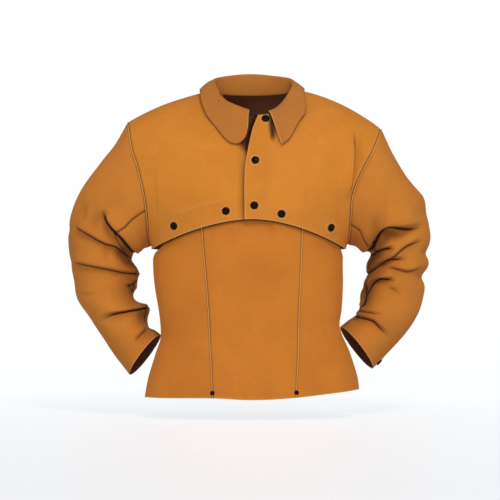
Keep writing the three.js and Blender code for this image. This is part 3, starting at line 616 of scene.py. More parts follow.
# rise, width, lap, length over which it fades in and out, and its line
CHEST_FOLDS = {
    "left": [
        (6.5, 17, 2.4, 45, 40, [(172, -205), (178, -165), (182, -130), (183, -98), (181, -66)]),
        (1.2, 22, 0.0, 50, 60, [(150, -250), (152, -200), (150, -150)]),
    ],
    "right": [
        (1.0, 30, 0.0, 60, 60, [(-176, -110), (-172, -160), (-170, -215), (-172, -262)]),
    ],
}
CHEST_SNAPS = {
    "hem_snap_1": (-139, -240),
    "hem_snap_2": (-47, -214),
    "hem_snap_3": (51, -219),
    "hem_snap_4": (139, -243),
    "placket_snap_1": (5, -124),
    "placket_snap_2": (3, -204),
    "collar_snap": (23, -49.5),
}
# the ridge that the bib's top edge presses into the right front, by how far right of the middle
BIB_TOP_RIDGE = {
    "rise": 1.5, "above": 39, "width": 2.6, "rubbed": 0.22, "comes": (25, 75), "goes": (110, 160),
}
HEM_CURL = {"rise": 1.6, "width": 9}
SNAP_RING = {"radius": 8.3, "width": 1.2, "pressed": 12, "rubbed": 0.6}
LAP_SHADE = {"dark": 0.55, "width": 4}
# painted shadow on the fronts beside the collar's leaves: its line, and how far it spreads to each
# side at the top, narrowing downwards
COLLAR_SHADOW = {
    "right": ([(-4, -28), (-7, -63), (-14, -84), (-27, -97)], 4, 60),
    "left": ([(33, -36), (33.5, -60), (35, -88)], 5.5, 11),
}


def cape_front(side_name, front_edge, depth_at, columns):
    ROWS = 120
    CLEAR_OF_ARMHOLE = 14
    FOLD_DARK = 0.85
    LEAF_SHADOW = {"dark": 0.9, "comes": (-10, 8), "goes": (-10, 6)}
    name = f"cape_front_{side_name}"
    side = SIDES[side_name]
    turned = side["sign"] < 0
    plane = spanned(front_edges(side, front_edge), closing_up(columns), closing_up(ROWS))
    points = on_body(plane, depth_at)
    x, z = points[..., 0], points[..., 2]
    far = edge_distances(points)
    shift = clear_of(far, ("end", "head")) * undulation(points, size=1.2)
    rubbed = np.zeros(x.shape)
    for snap_x, snap_z in CHEST_SNAPS.values():
        radius = np.hypot(x - snap_x, z - snap_z)
        shift *= 1 - bell(radius, SNAP_RING["pressed"])
        rubbed += SNAP_RING["rubbed"] * bell(radius - SNAP_RING["radius"], SNAP_RING["width"])
    ridge = bell(z - hem_z(x) - BIB_TOP_RIDGE["above"], BIB_TOP_RIDGE["width"])
    ridge *= smoothstep(-x, *BIB_TOP_RIDGE["comes"]) * (1 - smoothstep(-x, *BIB_TOP_RIDGE["goes"]))
    rubbed += BIB_TOP_RIDGE["rubbed"] * ridge
    shift += BIB_TOP_RIDGE["rise"] * ridge + HEM_CURL["rise"] * bell(far["foot"], HEM_CURL["width"])
    shift += seam_dip(far["end"]) + seam_dip(far["head"], **SHOULDER_DIP)
    points = settled(points, turned, shift)
    inside_seam = smoothstep(far["end"], 0, CLEAR_OF_ARMHOLE)
    points, crease = folded(points, normals(points, turned), inside_seam, CHEST_FOLDS[side_name])
    # painted shadow on the front beside the collar's leaf, added to the painted shade of the folds
    line, before, after = COLLAR_SHADOW[side_name]
    past, along, _, total = from_line(x, z, smooth_line(line))
    narrower = 1 + np.clip(along / total, 0, 1) ** 2
    leaf_shadow = np.exp(-((past * narrower / np.where(past < 0, before, after)) ** 4))
    leaf_shadow *= smoothstep(along, *LEAF_SHADOW["comes"]) * (1 - smoothstep(along - total, *LEAF_SHADOW["goes"]))
    crease = FOLD_DARK * crease + LEAF_SHADOW["dark"] * leaf_shadow
    if depth_at is under_front_y:
        crease += LAP_SHADE["dark"] * bell(np.maximum(placket_x(z) - x, 0), LAP_SHADE["width"])
    looks = {"raw": ("foot", "start"), "crease": crease, "rubbed": rubbed}
    piece = cut_leather(f"{name}_leather", points, turned, trim=in_front_of_seam, **looks)
    return sewn_in(piece, name, CAPE_SUEDE), points


cape_front_right, _ = cape_front("right", lower_front_edge, under_front_y, columns=130)
cape_front_left, left_front = cape_front("left", upper_front_edge, chest_y, columns=120)

# Sleeves
# Each is an outer panel and a narrower one under the arm, sewn along two seams and bent at the elbow,
# where the heavy hide breaks into deep folds on the inside of the arm.
SLEEVE_SUEDE = suede(
    "sleeve_suede", tan=(0.58, 0.2, 0.028), shaded=(0.46, 0.148, 0.023), brushed=(0.64, 0.24, 0.04)
)
WELTED_SEAM = 0.4
ARMHOLE_TILT = np.array([0.9, 0, -0.44])
# the seams of the panel under the arm: share of the way to the cuff, degrees round from the outer line
FRONT_SEAMS = {
    "right": through(
        [(0, 115.5), (0.18, 111.5), (0.27, 110), (0.34, 135), (0.42, 157), (0.5, 162), (1, 162)]
    ),
    "left": through([(0, 131), (0.18, 135), (0.28, 144), (0.4, 158), (1, 162)]),
}
BACK_SEAM = through([(0, 240), (0.3, 241), (0.5, 246), (1, 250)])
# rings from the shoulder to the cuff: middle y, half depth, how far the front is drawn up the arm
SLEEVE_DEPTHS = [
    (7, 75, 0), (14, 72, 0), (23, 69, 0), (32, 67, 0), (40, 66, 0), (47, 64, 0),
    (52, 62, 0), (53, 60, 1), (45, 57, 3), (33, 52, 5), (22, 46, 7),
]
# the same rings in the front view: outer end x, z, inner end x, z
SLEEVES = {
    "right": [
        (-253, -101, -192, -279), (-288, -144, -199, -282), (-316, -185, -209, -286),
        (-329, -221, -216, -291), (-333, -261, -217, -302), (-330, -301, -213, -316),
        (-323, -338, -208, -334), (-316, -374, -217, -372), (-291, -410, -190, -386),
        (-258, -456, -190, -413), (-220, -506, -167, -436),
    ],
    "left": [
        (253, -110, 180, -275), (275, -146, 189, -278), (301, -176, 200, -281),
        (314, -200, 210, -286), (321, -243, 213, -294), (319, -283, 211, -310),
        (314, -322, 208, -334), (311, -359, 199, -357), (298, -401, 195, -379),
        (261, -451, 186, -401), (216, -495, 160, -422),
    ],
}
FRONT_FOLDS = {
    "right": [
        (11, 24, 6, 24, 0, [
            (-268, -208), (-265, -220), (-259, -234), (-247, -249), (-233, -262), (-222, -275), (-211, -288),
        ]),
        (5.5, 20, 3.5, 12, 0, [
            (-321, -240), (-297, -254), (-266, -271), (-242, -279), (-228, -290), (-217, -298),
        ]),
        (5, 20, 3.5, 20, 0, [(-330, -304), (-285, -313), (-253, -319), (-233, -323), (-212, -325)]),
        (6, 12, 4, 10, 0, [(-230, -350), (-221, -346), (-211, -339)]),
        (4, 12, 2, 8, 0, [(-222, -350), (-214, -361), (-208, -375)]),
        (7.5, 20, 4.5, 44, 0, [(-278, -413), (-253, -399), (-226, -393), (-196, -388)]),
        (4, 14, 2, 20, 0, [(-214, -449), (-204, -438), (-194, -428)]),
        (1.5, 16, 0, 25, 30, [(-318, -358), (-296, -362), (-272, -361)]),
    ],
    "left": [
        (13, 26, 7, 0, 46, [
            (210, -280), (218, -266), (226, -254), (234, -246), (245, -243), (267, -244), (293, -243),
            (312, -236),
        ]),
        (6, 11, 4, 0, 18, [(212, -294), (223, -286), (239, -279.5), (257, -278)]),
        (5, 15, 3, 8, 30, [(222, -307), (244, -296), (258, -289), (272, -279), (285, -272), (312, -264)]),
        (6, 14, 4, 0, 26, [(210, -323), (226, -311), (238, -303), (250, -299), (280, -299)]),
        (4, 15, 3, 26, 20, [(232, -316), (248, -315), (262, -318), (275, -321), (288, -320), (310, -314)]),
        (8, 15, 5, 0, 26, [(198, -378), (203, -362), (215, -344), (226, -336), (239, -335), (260, -339)]),
        (6, 16, 4, 0, 40, [(188, -402), (208, -407), (219, -412), (230, -424), (248, -444)]),
        (4, 10, 3, 0, 24, [(198, -391), (206, -393), (238, -398)]),
        (2, 14, 1, 12, 20, [(240, -350), (255, -354), (268, -366)]),
    ],
}
BACK_FOLDS = {
    "right": [
        (4.5, 28, 1.5, 75, 0, [(-312, -224), (-256, -262), (-211, -293)]),
        (3.5, 18, 1.0, 50, 10, [(-280, -285), (-250, -300), (-224, -308)]),
        (4.0, 24, 1.2, 80, 0, [(-322, -308), (-262, -322), (-210, -331)]),
        (4.5, 22, 1.5, 70, 0, [(-290, -410), (-244, -394), (-194, -386)]),
    ],
    "left": [
        (4.5, 28, 1.5, 0, 75, [(208, -290), (250, -256), (304, -222)]),
        (3.5, 18, 1.0, 10, 50, [(222, -304), (250, -294), (280, -280)]),
        (4.0, 24, 1.2, 0, 80, [(204, -328), (256, -316), (312, -300)]),
        (4.5, 22, 1.5, 0, 70, [(188, -386), (232, -394), (284, -406)]),
    ],
}
# soft dents in the front of the sleeves: x, z, half-width, half-height, depth
DENTS = {
    "right": [
        (-304, -212, 7, 18, 3.5), (-284, -232, 8, 20, 3.5), (-258, -291, 9, 14, 4.0),
        (-237, -330, 20, 9, 3.5), (-196, -395, 12, 22, 3.0), (-300, -262, 22, 10, 1.5),
    ],
    "left": [
        (240, -228, 8, 24, 4.0), (214, -240, 10, 18, 3.0), (247, -250, 18, 8, 4.0),
        (288, -200, 26, 12, 1.5), (208, -358, 10, 20, 2.5), (290, -380, 20, 14, 1.5),
    ],
}
# where the outline of the sleeves swells and falls in: x, z, radius, height
OUTLINE = {
    "right": [
        (-256, -106, 28, 3.0), (-331, -245, 9, -2.0), (-328, -305, 9, -1.5), (-326, -322, 12, 0.5),
        (-201, -287, 12, -9.0), (-218, -292, 7, 4.5), (-213, -366, 9, -5.0), (-189, -392, 12, 3.0),
        (-184, -420, 8, -5.0),
    ],
    "left": [
        (313, -216, 14, -2.0), (321, -261, 14, 2.0), (314, -287, 9, -6.0), (305, -190, 16, 2.5),
        (318, -310, 13, 4.5), (308, -331, 11, -8.5), (206, -299, 10, 6.0), (196, -350, 10, -5.0),
        (194, -378, 12, -5.0), (189, -391, 8, -3.0),
    ],
}
# painted shade in the crooks of the arms: x, z, half-width, half-height, strength
CROOK_SHADE = {
    "right": [
        (-228, -284, 14, 13, 0.6), (-220, -338, 16, 20, 0.45), (-196, -396, 11, 20, 0.55),
        (-304, -214, 8, 16, 0.1), (-282, -236, 10, 16, 0.12),
    ],
    "left": [
        (240, -254, 26, 9, 0.5), (220, -298, 22, 28, 0.42), (200, -352, 10, 24, 0.5),
        (222, -236, 14, 20, 0.25), (232, -412, 22, 12, 0.15),
    ],
}


def armhole_point(side, angle):
    turn = np.radians(angle)
    z = mix(side["underarm"], side["tip"][1], (1 + np.cos(turn)) / 2)
    x = side["sign"] * side["half_at"](z)
    return np.stack([x, np.where(np.sin(turn) > 0, chest_y(x, z), back_y(x, z)), z], -1)


def across_armhole(side):
    return ARMHOLE_TILT * np.array([side["sign"], 1, 1])


def sleeve_run(side_name, along, angle):
    """The smooth sleeve before its folds, at places along it and a row of angles for each."""
    side = SIDES[side_name]
    cos, sin = np.cos(np.radians(angle)), np.sin(np.radians(angle))
    out = (1 + cos) / 2
    rings = [armhole_point(side, angle) + WELTED_SEAM * across_armhole(side)]
    for (out_x, out_z, in_x, in_z), (y, depth, drawn) in zip(SLEEVES[side_name], SLEEVE_DEPTHS):
        ring = np.stack([mix(in_x, out_x, out), y - depth * sin, mix(in_z, out_z, out)], -1)
        up_arm = side["sign"] * np.array([out_z - in_z, 0, in_x - out_x], float)
        rings.append(ring - drawn * sin[..., None] * unit(up_arm))
    rings = np.array(rings)
    last = len(rings) - 1
    k = np.minimum((along * last).astype(int), last - 1)
    t = (along * last - k)[:, None, None]
    row = np.arange(len(along))
    p0, p1, p2, p3 = (rings[np.clip(k + i, 0, last), row] for i in (-1, 0, 1, 2))
    return eased(p1, p2, (p2 - p0) / 2, (p3 - p1) / 2, t)


def sleeve_points(side_name, along, angle):
    """The folded sleeve, and the shade painted into its creases and crooks."""
    FREE_OF_ARMHOLE = (0.04, 0.16)
    FACING = (-0.3, 0.4)
    PAST_ELBOW, FULLER = (0.45, 0.7), 2.0
    BEHIND_DARK = 0.6
    points = sleeve_run(side_name, along, angle)
    ends = sleeve_run(side_name, along, np.tile([0.0, 180.0], (len(along), 1)))
    outward = unit(points - ends.mean(axis=1, keepdims=True))
    free = smoothstep(along, *FREE_OF_ARMHOLE)[:, None]
    to_front = free * smoothstep(-outward[..., 1], *FACING)
    to_back = free * smoothstep(outward[..., 1], *FACING)

    def spot(x, z, wide, high):
        return bell(points[..., 0] - x, wide) * bell(points[..., 2] - z, high)

    shift = free * undulation(points, size=1.3) + FULLER * smoothstep(along, *PAST_ELBOW)[:, None]
    for *place, depth in DENTS[side_name]:
        shift -= to_front * depth * spot(*place)
    for x, z, radius, height in OUTLINE[side_name]:
        shift += free * height * spot(x, z, radius, radius)
    in_front, dark = folded(points, outward, to_front, FRONT_FOLDS[side_name])
    behind, dark_behind = folded(points, outward, to_back, BACK_FOLDS[side_name])
    moved = in_front + behind - points + outward * shift[..., None]
    # painted shade in the crooks of the arms
    overlay = sum(strength * spot(*place) for *place, strength in CROOK_SHADE[side_name])
    return moved, np.maximum(dark, to_front * overlay) + BEHIND_DARK * dark_behind


def sleeve_panel(side_name, panel, start, end, columns):
    SEAM_ANGLE = 0.35
    SEAM_DIP = {"depth": 0.8, "width": 3}
    DARK = 1.1
    ROWS = 270
    turned = SIDES[side_name]["sign"] < 0
    along = with_edges(np.linspace(0, 1, ROWS))
    first, last = start(along)[:, None] + SEAM_ANGLE, end(along)[:, None] - SEAM_ANGLE
    points, crease = sleeve_points(side_name, along, mix(first, last, np.linspace(0, 1, columns)))
    far = edge_distances(points)
    dip = seam_dip(far["start"], **SEAM_DIP) + seam_dip(far["end"], **SEAM_DIP) + seam_dip(far["foot"])
    points = settled(points, turned, dip)
    name = f"sleeve_{panel}_{side_name}"
    piece = cut_leather(f"{name}_leather", points, turned, raw=("head",), crease=DARK * crease)
    return sewn_in(piece, name, SLEEVE_SUEDE)


def over_the_arm(along):
    """The back seam again, as the start of the outer panel."""
    return BACK_SEAM(along) - 360


for side_name in SIDES:
    upper = sleeve_panel(side_name, "upper", over_the_arm, FRONT_SEAMS[side_name], columns=165)
    under = sleeve_panel(side_name, "under", FRONT_SEAMS[side_name], BACK_SEAM, columns=66)

# Armhole welts
# A narrow strip of the same hide sewn into each armhole seam, its pale cut edge standing just proud.
ARMHOLE_WELT = {"width": 1.7, "rise": 0.4, "sink": 3.4, "reach": 172, "columns": 200}
WELT_ROWS = 6
ALL_EDGES = ("foot", "head", "start", "end")
PALE_SUEDE = suede(
    "welt_suede", tan=(0.52, 0.2, 0.042), shaded=(0.4, 0.14, 0.03), brushed=(0.6, 0.27, 0.075)
)

for side_name, side in SIDES.items():
    angle = np.linspace(-ARMHOLE_WELT["reach"], ARMHOLE_WELT["reach"], ARMHOLE_WELT["columns"])
    middle = armhole_point(side, angle) + WELTED_SEAM / 2 * across_armhole(side)
    tangent = np.gradient(armhole_point(side, angle), axis=0)
    out = unit(np.stack([np.zeros(len(angle)), tangent[:, 2], -tangent[:, 1]], -1))
    lateral = unit(np.cross(out, tangent))
    heights = np.linspace(ARMHOLE_WELT["rise"], -ARMHOLE_WELT["sink"], WELT_ROWS)[None, :, None]
    strip = middle[:, None] + out[:, None] * heights + lateral[:, None] * ARMHOLE_WELT["width"] / 2
    welt = cut_leather(f"armhole_welt_{side_name}_strip", strip, True, ARMHOLE_WELT["width"], raw=ALL_EDGES)
    sewn_in(welt, f"armhole_welt_{side_name}", PALE_SUEDE)

# Collar
# One piece of hide that stands round the neck and folds over to two pointed leaves.
# It is sewn into the neckline, and its cut edges are left raw.
FOLD_LINE = {"centre_y": -15, "half_y": 57, "radius": 2.2}
COLLAR_FOOT = 2.4
# angle round the neck, fold x, z, edge x, how far the edge is below the shoulder line (minus: on the
# chest), lift of the edge, swell of the leaf
COLLAR = np.array([
    (-169, -6, -33, -9, -109, 7, 5),
    (-145, -30, -24, -41, -102, 5, 5),
    (-122, -50, -13, -67, -69, 4, 5),
    (-100, -62, 6, -84, -42, 6.5, 5),
    (-80, -69, 19, -94, -13, 8, 5),
    (-50, -60, 30, -88, 14, 6.5, 5),
    (0, 2, 36, 2, 32, 4, 5),
    (50, 63, 29, 88, 14, 6, 4),
    (80, 73, 18, 93, -9, 5, 3),
    (100, 70, 7, 95, -38, 6.5, 4),
    (122, 58, -12.5, 82, -62, 5.5, 5),
    (142, 43, -28, 66, -93, 5, 5),
    (163, 29, -35, 52, -106, 7, 5),
], float)
COLLAR_ROWS = {"stand": 10, "fold": 8, "leaf": 44}
COLLAR_COLUMNS = 240
COLLAR_SUEDE = suede(
    "collar_suede", tan=(0.49, 0.172, 0.032), shaded=(0.4, 0.13, 0.027), brushed=(0.55, 0.21, 0.046)
)


def collar_points():
    FULL_DOWN, SETTLED = 45, 0.6
    SEAM_ALLOWANCE = -0.22
    ROUND_CORNER = {"columns": 12, "share": 0.4}
    angle = np.linspace(COLLAR[0, 0], COLLAR[-1, 0], COLLAR_COLUMNS)
    fold_x, fold_z, edge_x, edge_down, lift, swell = (
        through(list(zip(COLLAR[:, 0], COLLAR[:, k])))(angle) for k in range(1, 7)
    )
    turn = np.radians(angle)
    foot_x, foot_z = neckline(angle, COLLAR_FOOT).T
    on_chest = np.where(angle > 0, chest_y(foot_x, foot_z), under_front_y(foot_x, foot_z))
    foot = np.stack([foot_x, np.where(np.cos(turn) < 0, on_chest, back_y(foot_x, foot_z)), foot_z], -1)
    sink = np.where((angle < 0) & (np.cos(turn) < 0), underlap_sink(fold_x), 0)
    fold_y = FOLD_LINE["centre_y"] + FOLD_LINE["half_y"] * np.cos(turn) + sink
    fold = np.stack([fold_x, fold_y, fold_z], -1)
    out = np.stack([np.sin(turn), np.cos(turn), np.zeros(len(turn))], -1)
    tilt = np.clip(edge_down / FULL_DOWN, -1, 1) * np.pi / 2
    off = np.stack([np.zeros(len(tilt)), np.sin(tilt), np.cos(tilt)], -1)
    edge_z = shoulder_z(edge_x) - np.abs(edge_down)
    edge_y = np.where(edge_down < 0, chest_y(edge_x, edge_z), back_y(edge_x, edge_z))
    edge = np.stack([edge_x, edge_y, edge_z], -1) + off * lift[:, None]

    rows = []
    centre = fold - np.array([0, 0, FOLD_LINE["radius"]])
    for t in np.linspace(SEAM_ALLOWANCE, 1, COLLAR_ROWS["stand"], endpoint=False):
        rows.append(mix(foot, centre - out * FOLD_LINE["radius"], t))
    for t in np.linspace(0, np.pi / 2, COLLAR_ROWS["fold"], endpoint=False):
        rows.append(centre + FOLD_LINE["radius"] * (np.array([0, 0, np.sin(t)]) - out * np.cos(t)))
    leaving = fold + out * 2 * swell[:, None]
    settling = mix(fold, edge, SETTLED) + off * swell[:, None]
    near = np.clip(1 - np.arange(len(angle)) / ROUND_CORNER["columns"], 0, 1)
    longest = (1 - ROUND_CORNER["share"] * (1 - np.sqrt(1 - near**2)))[:, None]
    for share in np.linspace(0, 1, COLLAR_ROWS["leaf"]):
        t = share * longest
        bent = 3 * leaving * t * (1 - t) ** 2 + 3 * settling * t * t * (1 - t)
        rows.append(fold * (1 - t) ** 3 + bent + edge * t**3)
    return np.array(rows)


leaves = collar_points()
leaves = settled(leaves, False, undulation(leaves, size=0.5))
collar = cut_leather("collar_leather", leaves, raw=("start", "end"))
sewn_in(collar, "collar", COLLAR_SUEDE)

# Bib
# Three panels of slightly redder hide joined by two welted seams. It hangs from the snaps along the
# cape's hem, its top edge tucked up under the cape, and its lower edge is a plain cut.
BIB_OVERLAP = 40
BIB_REACH = 0.97
BIB_SLANT = 2.2
BIB_CORNERS = {
    "right": [(-298, 1), (-287, 0.985), (-274, 0.91), (-226, 0.78)],
    "left": [(-294, 1), (-280, 0.965), (-264, 0.89), (-226, 0.78)],
}
BIB_TOP = -226
BIB_HEM = [(-192, -546), (-70, -544), (0, -547), (78, -543), (188, -532)]
BIB_SEAMS = {
    "right": [(-545, 70), (-442, 75), (-371, 79), (-304, 85), (-200, 93)],
    "left": [(-545, 77), (-442, 81), (-371, 83), (-304, 86), (-200, 90)],
}
BIB_WELT = {"width": 1.7, "rise": 0.5, "sink": 1.2, "columns": 240}
BIB_SUEDE = suede(
    "bib_suede", tan=(0.62, 0.2, 0.024), shaded=(0.49, 0.148, 0.02), brushed=(0.67, 0.24, 0.036)
)
bib_hem_z = through(BIB_HEM)


def slopes_of(depth_at, x, z):
    STEP = 0.5
    slope_x = (depth_at(x + STEP, z) - depth_at(x - STEP, z)) / (2 * STEP)
    slope_z = (depth_at(x, z + STEP) - depth_at(x, z - STEP)) / (2 * STEP)
    return slope_x, slope_z


def bib_y(x, z):
    """The bib lies one lap behind the chest, measured square to it, and clear of the lower front."""
    PAST_UNDERLAP = (2, 18)
    BELOW_HEM = 60
    slope_x, slope_z = slopes_of(chest_y, x, z)
    slant = np.minimum(np.sqrt(1 + slope_x**2 + slope_z**2), BIB_SLANT)
    under_lap = 1 - smoothstep(x - UNDERLAP["hem_x"], *PAST_UNDERLAP)
    near_hem = smoothstep(z, HEM["middle"] - BELOW_HEM, HEM["middle"] - LAP)
    return chest_y(x, z) + LAP * slant + underlap_sink(x) * under_lap * near_hem


def seam_line(side_name, off=0.0):
    """A bib seam in the front view, moved outwards by so much, from the hem (0) to the top (1)."""
    sign = SIDES[side_name]["sign"]
    rows = BIB_SEAMS[side_name]
    seam_x = through(rows)
    low = bib_hem_z(sign * rows[0][1])
    high = hem_z(np.float64(sign * rows[-1][1])) + BIB_OVERLAP

    def line(v):
        z = mix(low, high, np.asarray(v, float))
        return np.stack([sign * (seam_x(z) + off), z], -1)

    return line


def bib_hang(points):
    """The slight unevenness in which the bib hangs below the cape's hem."""
    SETTLED = 60
    WAVES = {"size": 2.2, "from": -330, "full": -545}
    x, z = points[..., 0], points[..., 2]
    below = smoothstep(hem_z(x) - z, 0, SETTLED)
    waves = np.sin(0.052 * x + 0.4 + 0.004 * z) * smoothstep(z, WAVES["from"], WAVES["full"])
    return below * (undulation(points, size=1.3) + WAVES["size"] * waves)


def bib_panel(name, start, end, top, columns, turned, seams):
    ROWS = 170
    SEAM_DIP = {"depth": 1.5, "width": 2.2}
    HEM_SHADOW = {"dark": 0.85, "left": 2.6, "right": 5.0, "between": (90, 175)}
    HEM_SHADE = {"dark": 0.12, "width": 16}

    def bottom(u):
        x = mix(start(0.0)[0], end(0.0)[0], np.asarray(u, float))
        shift = mix(start(0.0)[1] - bib_hem_z(start(0.0)[0]), end(0.0)[1] - bib_hem_z(end(0.0)[0]), u)
        return np.stack([x, bib_hem_z(x) + shift], -1)

    across, along = (with_edges(np.linspace(0, 1, count)) for count in (columns, ROWS))
    points = on_body(spanned((bottom, top, start, end), across, along), bib_y)
    far = edge_distances(points)
    shift = bib_hang(points)
    for seam in seams:
        shift += seam_dip(far[seam], **SEAM_DIP)
    raw = set(ALL_EDGES) - set(seams)
    # painted shadow that the cape's hem casts on the bib: a dark band close under it, wider towards the
    # wearer's right, and a soft wide one below
    below_hem = np.maximum(hem_z(points[..., 0]) - points[..., 2], 0)
    spread = mix(HEM_SHADOW["left"], HEM_SHADOW["right"], smoothstep(-points[..., 0], *HEM_SHADOW["between"]))
    dark = HEM_SHADOW["dark"] * bell(below_hem, spread) + HEM_SHADE["dark"] * bell(below_hem, HEM_SHADE["width"])
    piece = cut_leather(f"{name}_leather", settled(points, turned, shift), turned, raw=raw, crease=dark)
    return sewn_in(piece, name, BIB_SUEDE)


inner = [seam_line(side_name, SEAM_LAP / 2) for side_name in SIDES]


def top_middle(u):
    first, last = inner[0](1.0), inner[1](1.0)
    x = mix(first[0], last[0], np.asarray(u, float))
    shift = mix(first[1] - hem_z(first[0]), last[1] - hem_z(last[0]), u)
    return np.stack([x, hem_z(x) + shift], -1)


bib_center = bib_panel("bib_center", *inner, top_middle, columns=100, turned=False, seams=("start", "end"))

for side_name, side in SIDES.items():
    start = seam_line(side_name, -SEAM_LAP / 2)
    foot_z = (BIB_HEM[0] if side["sign"] < 0 else BIB_HEM[-1])[1]
    corner = through(BIB_CORNERS[side_name])

    def side_end(v, side=side, foot_z=foot_z, corner=corner):
        z = mix(foot_z, BIB_TOP, np.asarray(v, float))
        return np.stack([side["sign"] * side["half_at"](z) * BIB_REACH * corner(z), z], -1)

    def side_top(u, start=start, side_end=side_end):
        return mix(start(1.0), side_end(1.0), np.asarray(u, float)[..., None])

    name, turned = f"bib_side_{side_name}", side["sign"] < 0
    panel = bib_panel(name, start, side_end, side_top, columns=90, turned=turned, seams=("start",))

# Bib welts
# The strip of hide sewn into each bib seam. Its pale cut edge stands up along the seam, and a rivet is
# driven through its foot.
RIVET = {"head": 4, "shank": 1.5, "above_hem": 9}


def place_on(depth_at, x, z):
    """Points of a surface in front of the body, with the way straight out of it."""
    slope_x, slope_z = slopes_of(depth_at, x, z)
    normal = np.stack([slope_x, -np.ones_like(slope_x), slope_z], -1)
    return np.stack([x, depth_at(x, z), z], -1), unit(normal)


rivet_places = {}
for side_name, side in SIDES.items():
    line = seam_line(side_name)
    tall = line(1.0)[1] - line(0.0)[1]
    x, z = line(np.linspace(0, 1, BIB_WELT["columns"])).T
    point, normal = place_on(bib_y, x, z)
    point += normal * bib_hang(point)[:, None]
    heights = np.linspace(-BIB_WELT["sink"], BIB_WELT["rise"], WELT_ROWS)[None, :, None]
    strip = point[:, None] + normal[:, None] * heights
    strip[..., 0] -= BIB_WELT["width"] / 2
    welt = cut_leather(f"bib_welt_{side_name}_strip", strip, False, BIB_WELT["width"], raw=ALL_EDGES)
    sewn_in(welt, f"bib_welt_{side_name}", PALE_SUEDE)
    x, z = line(RIVET["above_hem"] / tall)
    point, normal = place_on(bib_y, np.float64(x), np.float64(z))
    rivet_places[side_name] = (point + normal * bib_hang(point), normal)

# Snaps and rivets
# Pressed brass snaps in black enamel: a domed cap on the upper layer, clinched to a socket behind it,
# and a stud on the layer below. The enamel is rubbed thin in scattered spots.
SNAP = {"cap": 7.0, "shank": 2.0, "flange": 4.8, "cavity": 3.0, "stud": 2.3}


def enamel():
    BLACK, WORN = (0.004, 0.0025, 0.002), (0.05, 0.022, 0.009)
    material, add, link, shader = new_material("black_enamel")
    scuff = add("ShaderNodeTexNoise", Scale=900.0, Detail=5.0)
    link(add("ShaderNodeTexCoord").outputs["Object"], scuff.inputs["Vector"])
    overlay = ranged(add, link, scuff.outputs["Fac"], 0.58, 0.72, 0.0, 0.5)
    link(tinted(add, link, BLACK, WORN, overlay), shader.inputs["Base Color"])
    link(ranged(add, link, scuff.outputs["Fac"], 0.35, 0.7, 0.24, 0.45), shader.inputs["Roughness"])
    set_inputs(shader, Specular_IOR_Level=0.06)
    return material


BLACK_ENAMEL = enamel()


def raised(name, rings, sides, material):
    """A closed piece raised from a disc by one extrusion for each ring.

    A ring is its radius, its height, and how far it is set back."""
    SHARP = np.radians(35)
    radius, height, back = rings[0]
    bpy.ops.object.select_all(action="DESELECT")
    bpy.ops.mesh.primitive_circle_add(vertices=sides, radius=radius * MM, fill_type="NGON")
    piece = bpy.context.object
    piece.name = piece.data.name = name
    bpy.ops.object.mode_set(mode="EDIT")
    bpy.ops.mesh.select_all(action="SELECT")
    bpy.ops.transform.translate(value=(0, back * MM, height * MM))
    for next_radius, next_height, next_back in rings[1:]:
        step = (0, (next_back - back) * MM, (next_height - height) * MM)
        bpy.ops.mesh.extrude_region_move(TRANSFORM_OT_translate={"value": step})
        share = next_radius / radius
        radius, height, back = next_radius, next_height, next_back
        bpy.ops.transform.resize(value=(share, share, 1), center_override=(0, back * MM, 0))
    bpy.ops.mesh.select_all(action="SELECT")
    bpy.ops.mesh.normals_make_consistent(inside=False)
    bpy.ops.object.mode_set(mode="OBJECT")
    bpy.ops.object.shade_smooth_by_angle(angle=SHARP)
    piece.data.materials.append(material)
    return piece


def turned_piece(name, profile):
    return raised(name, [(radius, height, 0) for radius, height in profile], sides=40, material=BLACK_ENAMEL)


def set_in(pattern, name, node, point, normal):
    """A copy of a turned piece, moved to its place in its mesh."""
    turn = Vector((0, 0, 1)).rotation_difference(Vector(normal)).to_matrix().to_4x4()
    piece = bpy.data.objects.new(name, pattern.data.copy())
    piece.data.name = name
    piece.data.transform(Matrix.Translation(Vector(point) * MM) @ turn)
    bpy.context.scene.collection.objects.link(piece)
    in_frame(piece, node)


def domed(radius, rim, top):
    """The profile of a head from its rolled rim up over the dome."""
    ROLLED_RIM = [(0.9, -0.35), (0.97, -0.25), (1, 0)]
    FIRST, LAST, STEPS = 0.12, 0.98, 9
    turn = np.linspace(FIRST, LAST, STEPS) * np.pi / 2
    dome = [(radius * np.cos(t), rim + (top - rim) * np.sin(t)) for t in turn]
    return [*((radius * share, rim + up) for share, up in ROLLED_RIM), *dome]


def flanged(radius, low, high):
    """The profile of a flat flange with rounded edges."""
    EDGE, TOP_EDGE = 0.3, 0.2
    return [(radius - EDGE, low), (radius, low + EDGE), (radius, high - EDGE), (radius - TOP_EDGE, high)]


cavity, flange, shank, stud_neck = SNAP["cavity"], SNAP["flange"], SNAP["shank"], SNAP["stud"]
cap = turned_piece("snap_cap_pattern", [
    (cavity, -3.6),
    (cavity, -4.7),
    (cavity + 0.3, -4.9),
    *flanged(flange, -4.9, -2.6),
    (shank, -2.6),
    (shank, 0.25),
    *domed(SNAP["cap"], 0.8, 3.0),
])
stud = turned_piece("snap_stud_pattern", [
    *flanged(flange, -9.8, -8.8),
    (shank, -8.8),
    (shank, -5.4),
    (stud_neck, -5.0),
    (stud_neck, -4.3),
    (stud_neck - 0.3, -4.0),
])
plain = turned_piece("cuff_snap_pattern", [
    *flanged(flange, -3.6, -2.6),
    (shank, -2.6),
    (shank, 0.45),
    *domed(SNAP["cap"], 0.9, 3.0),
])
rivet = turned_piece("rivet_pattern", [
    *flanged(RIVET["head"], -3.4, -2.4),
    (RIVET["shank"], -2.4),
    (RIVET["shank"], 0.3),
    *domed(RIVET["head"], 0.7, 1.8),
])

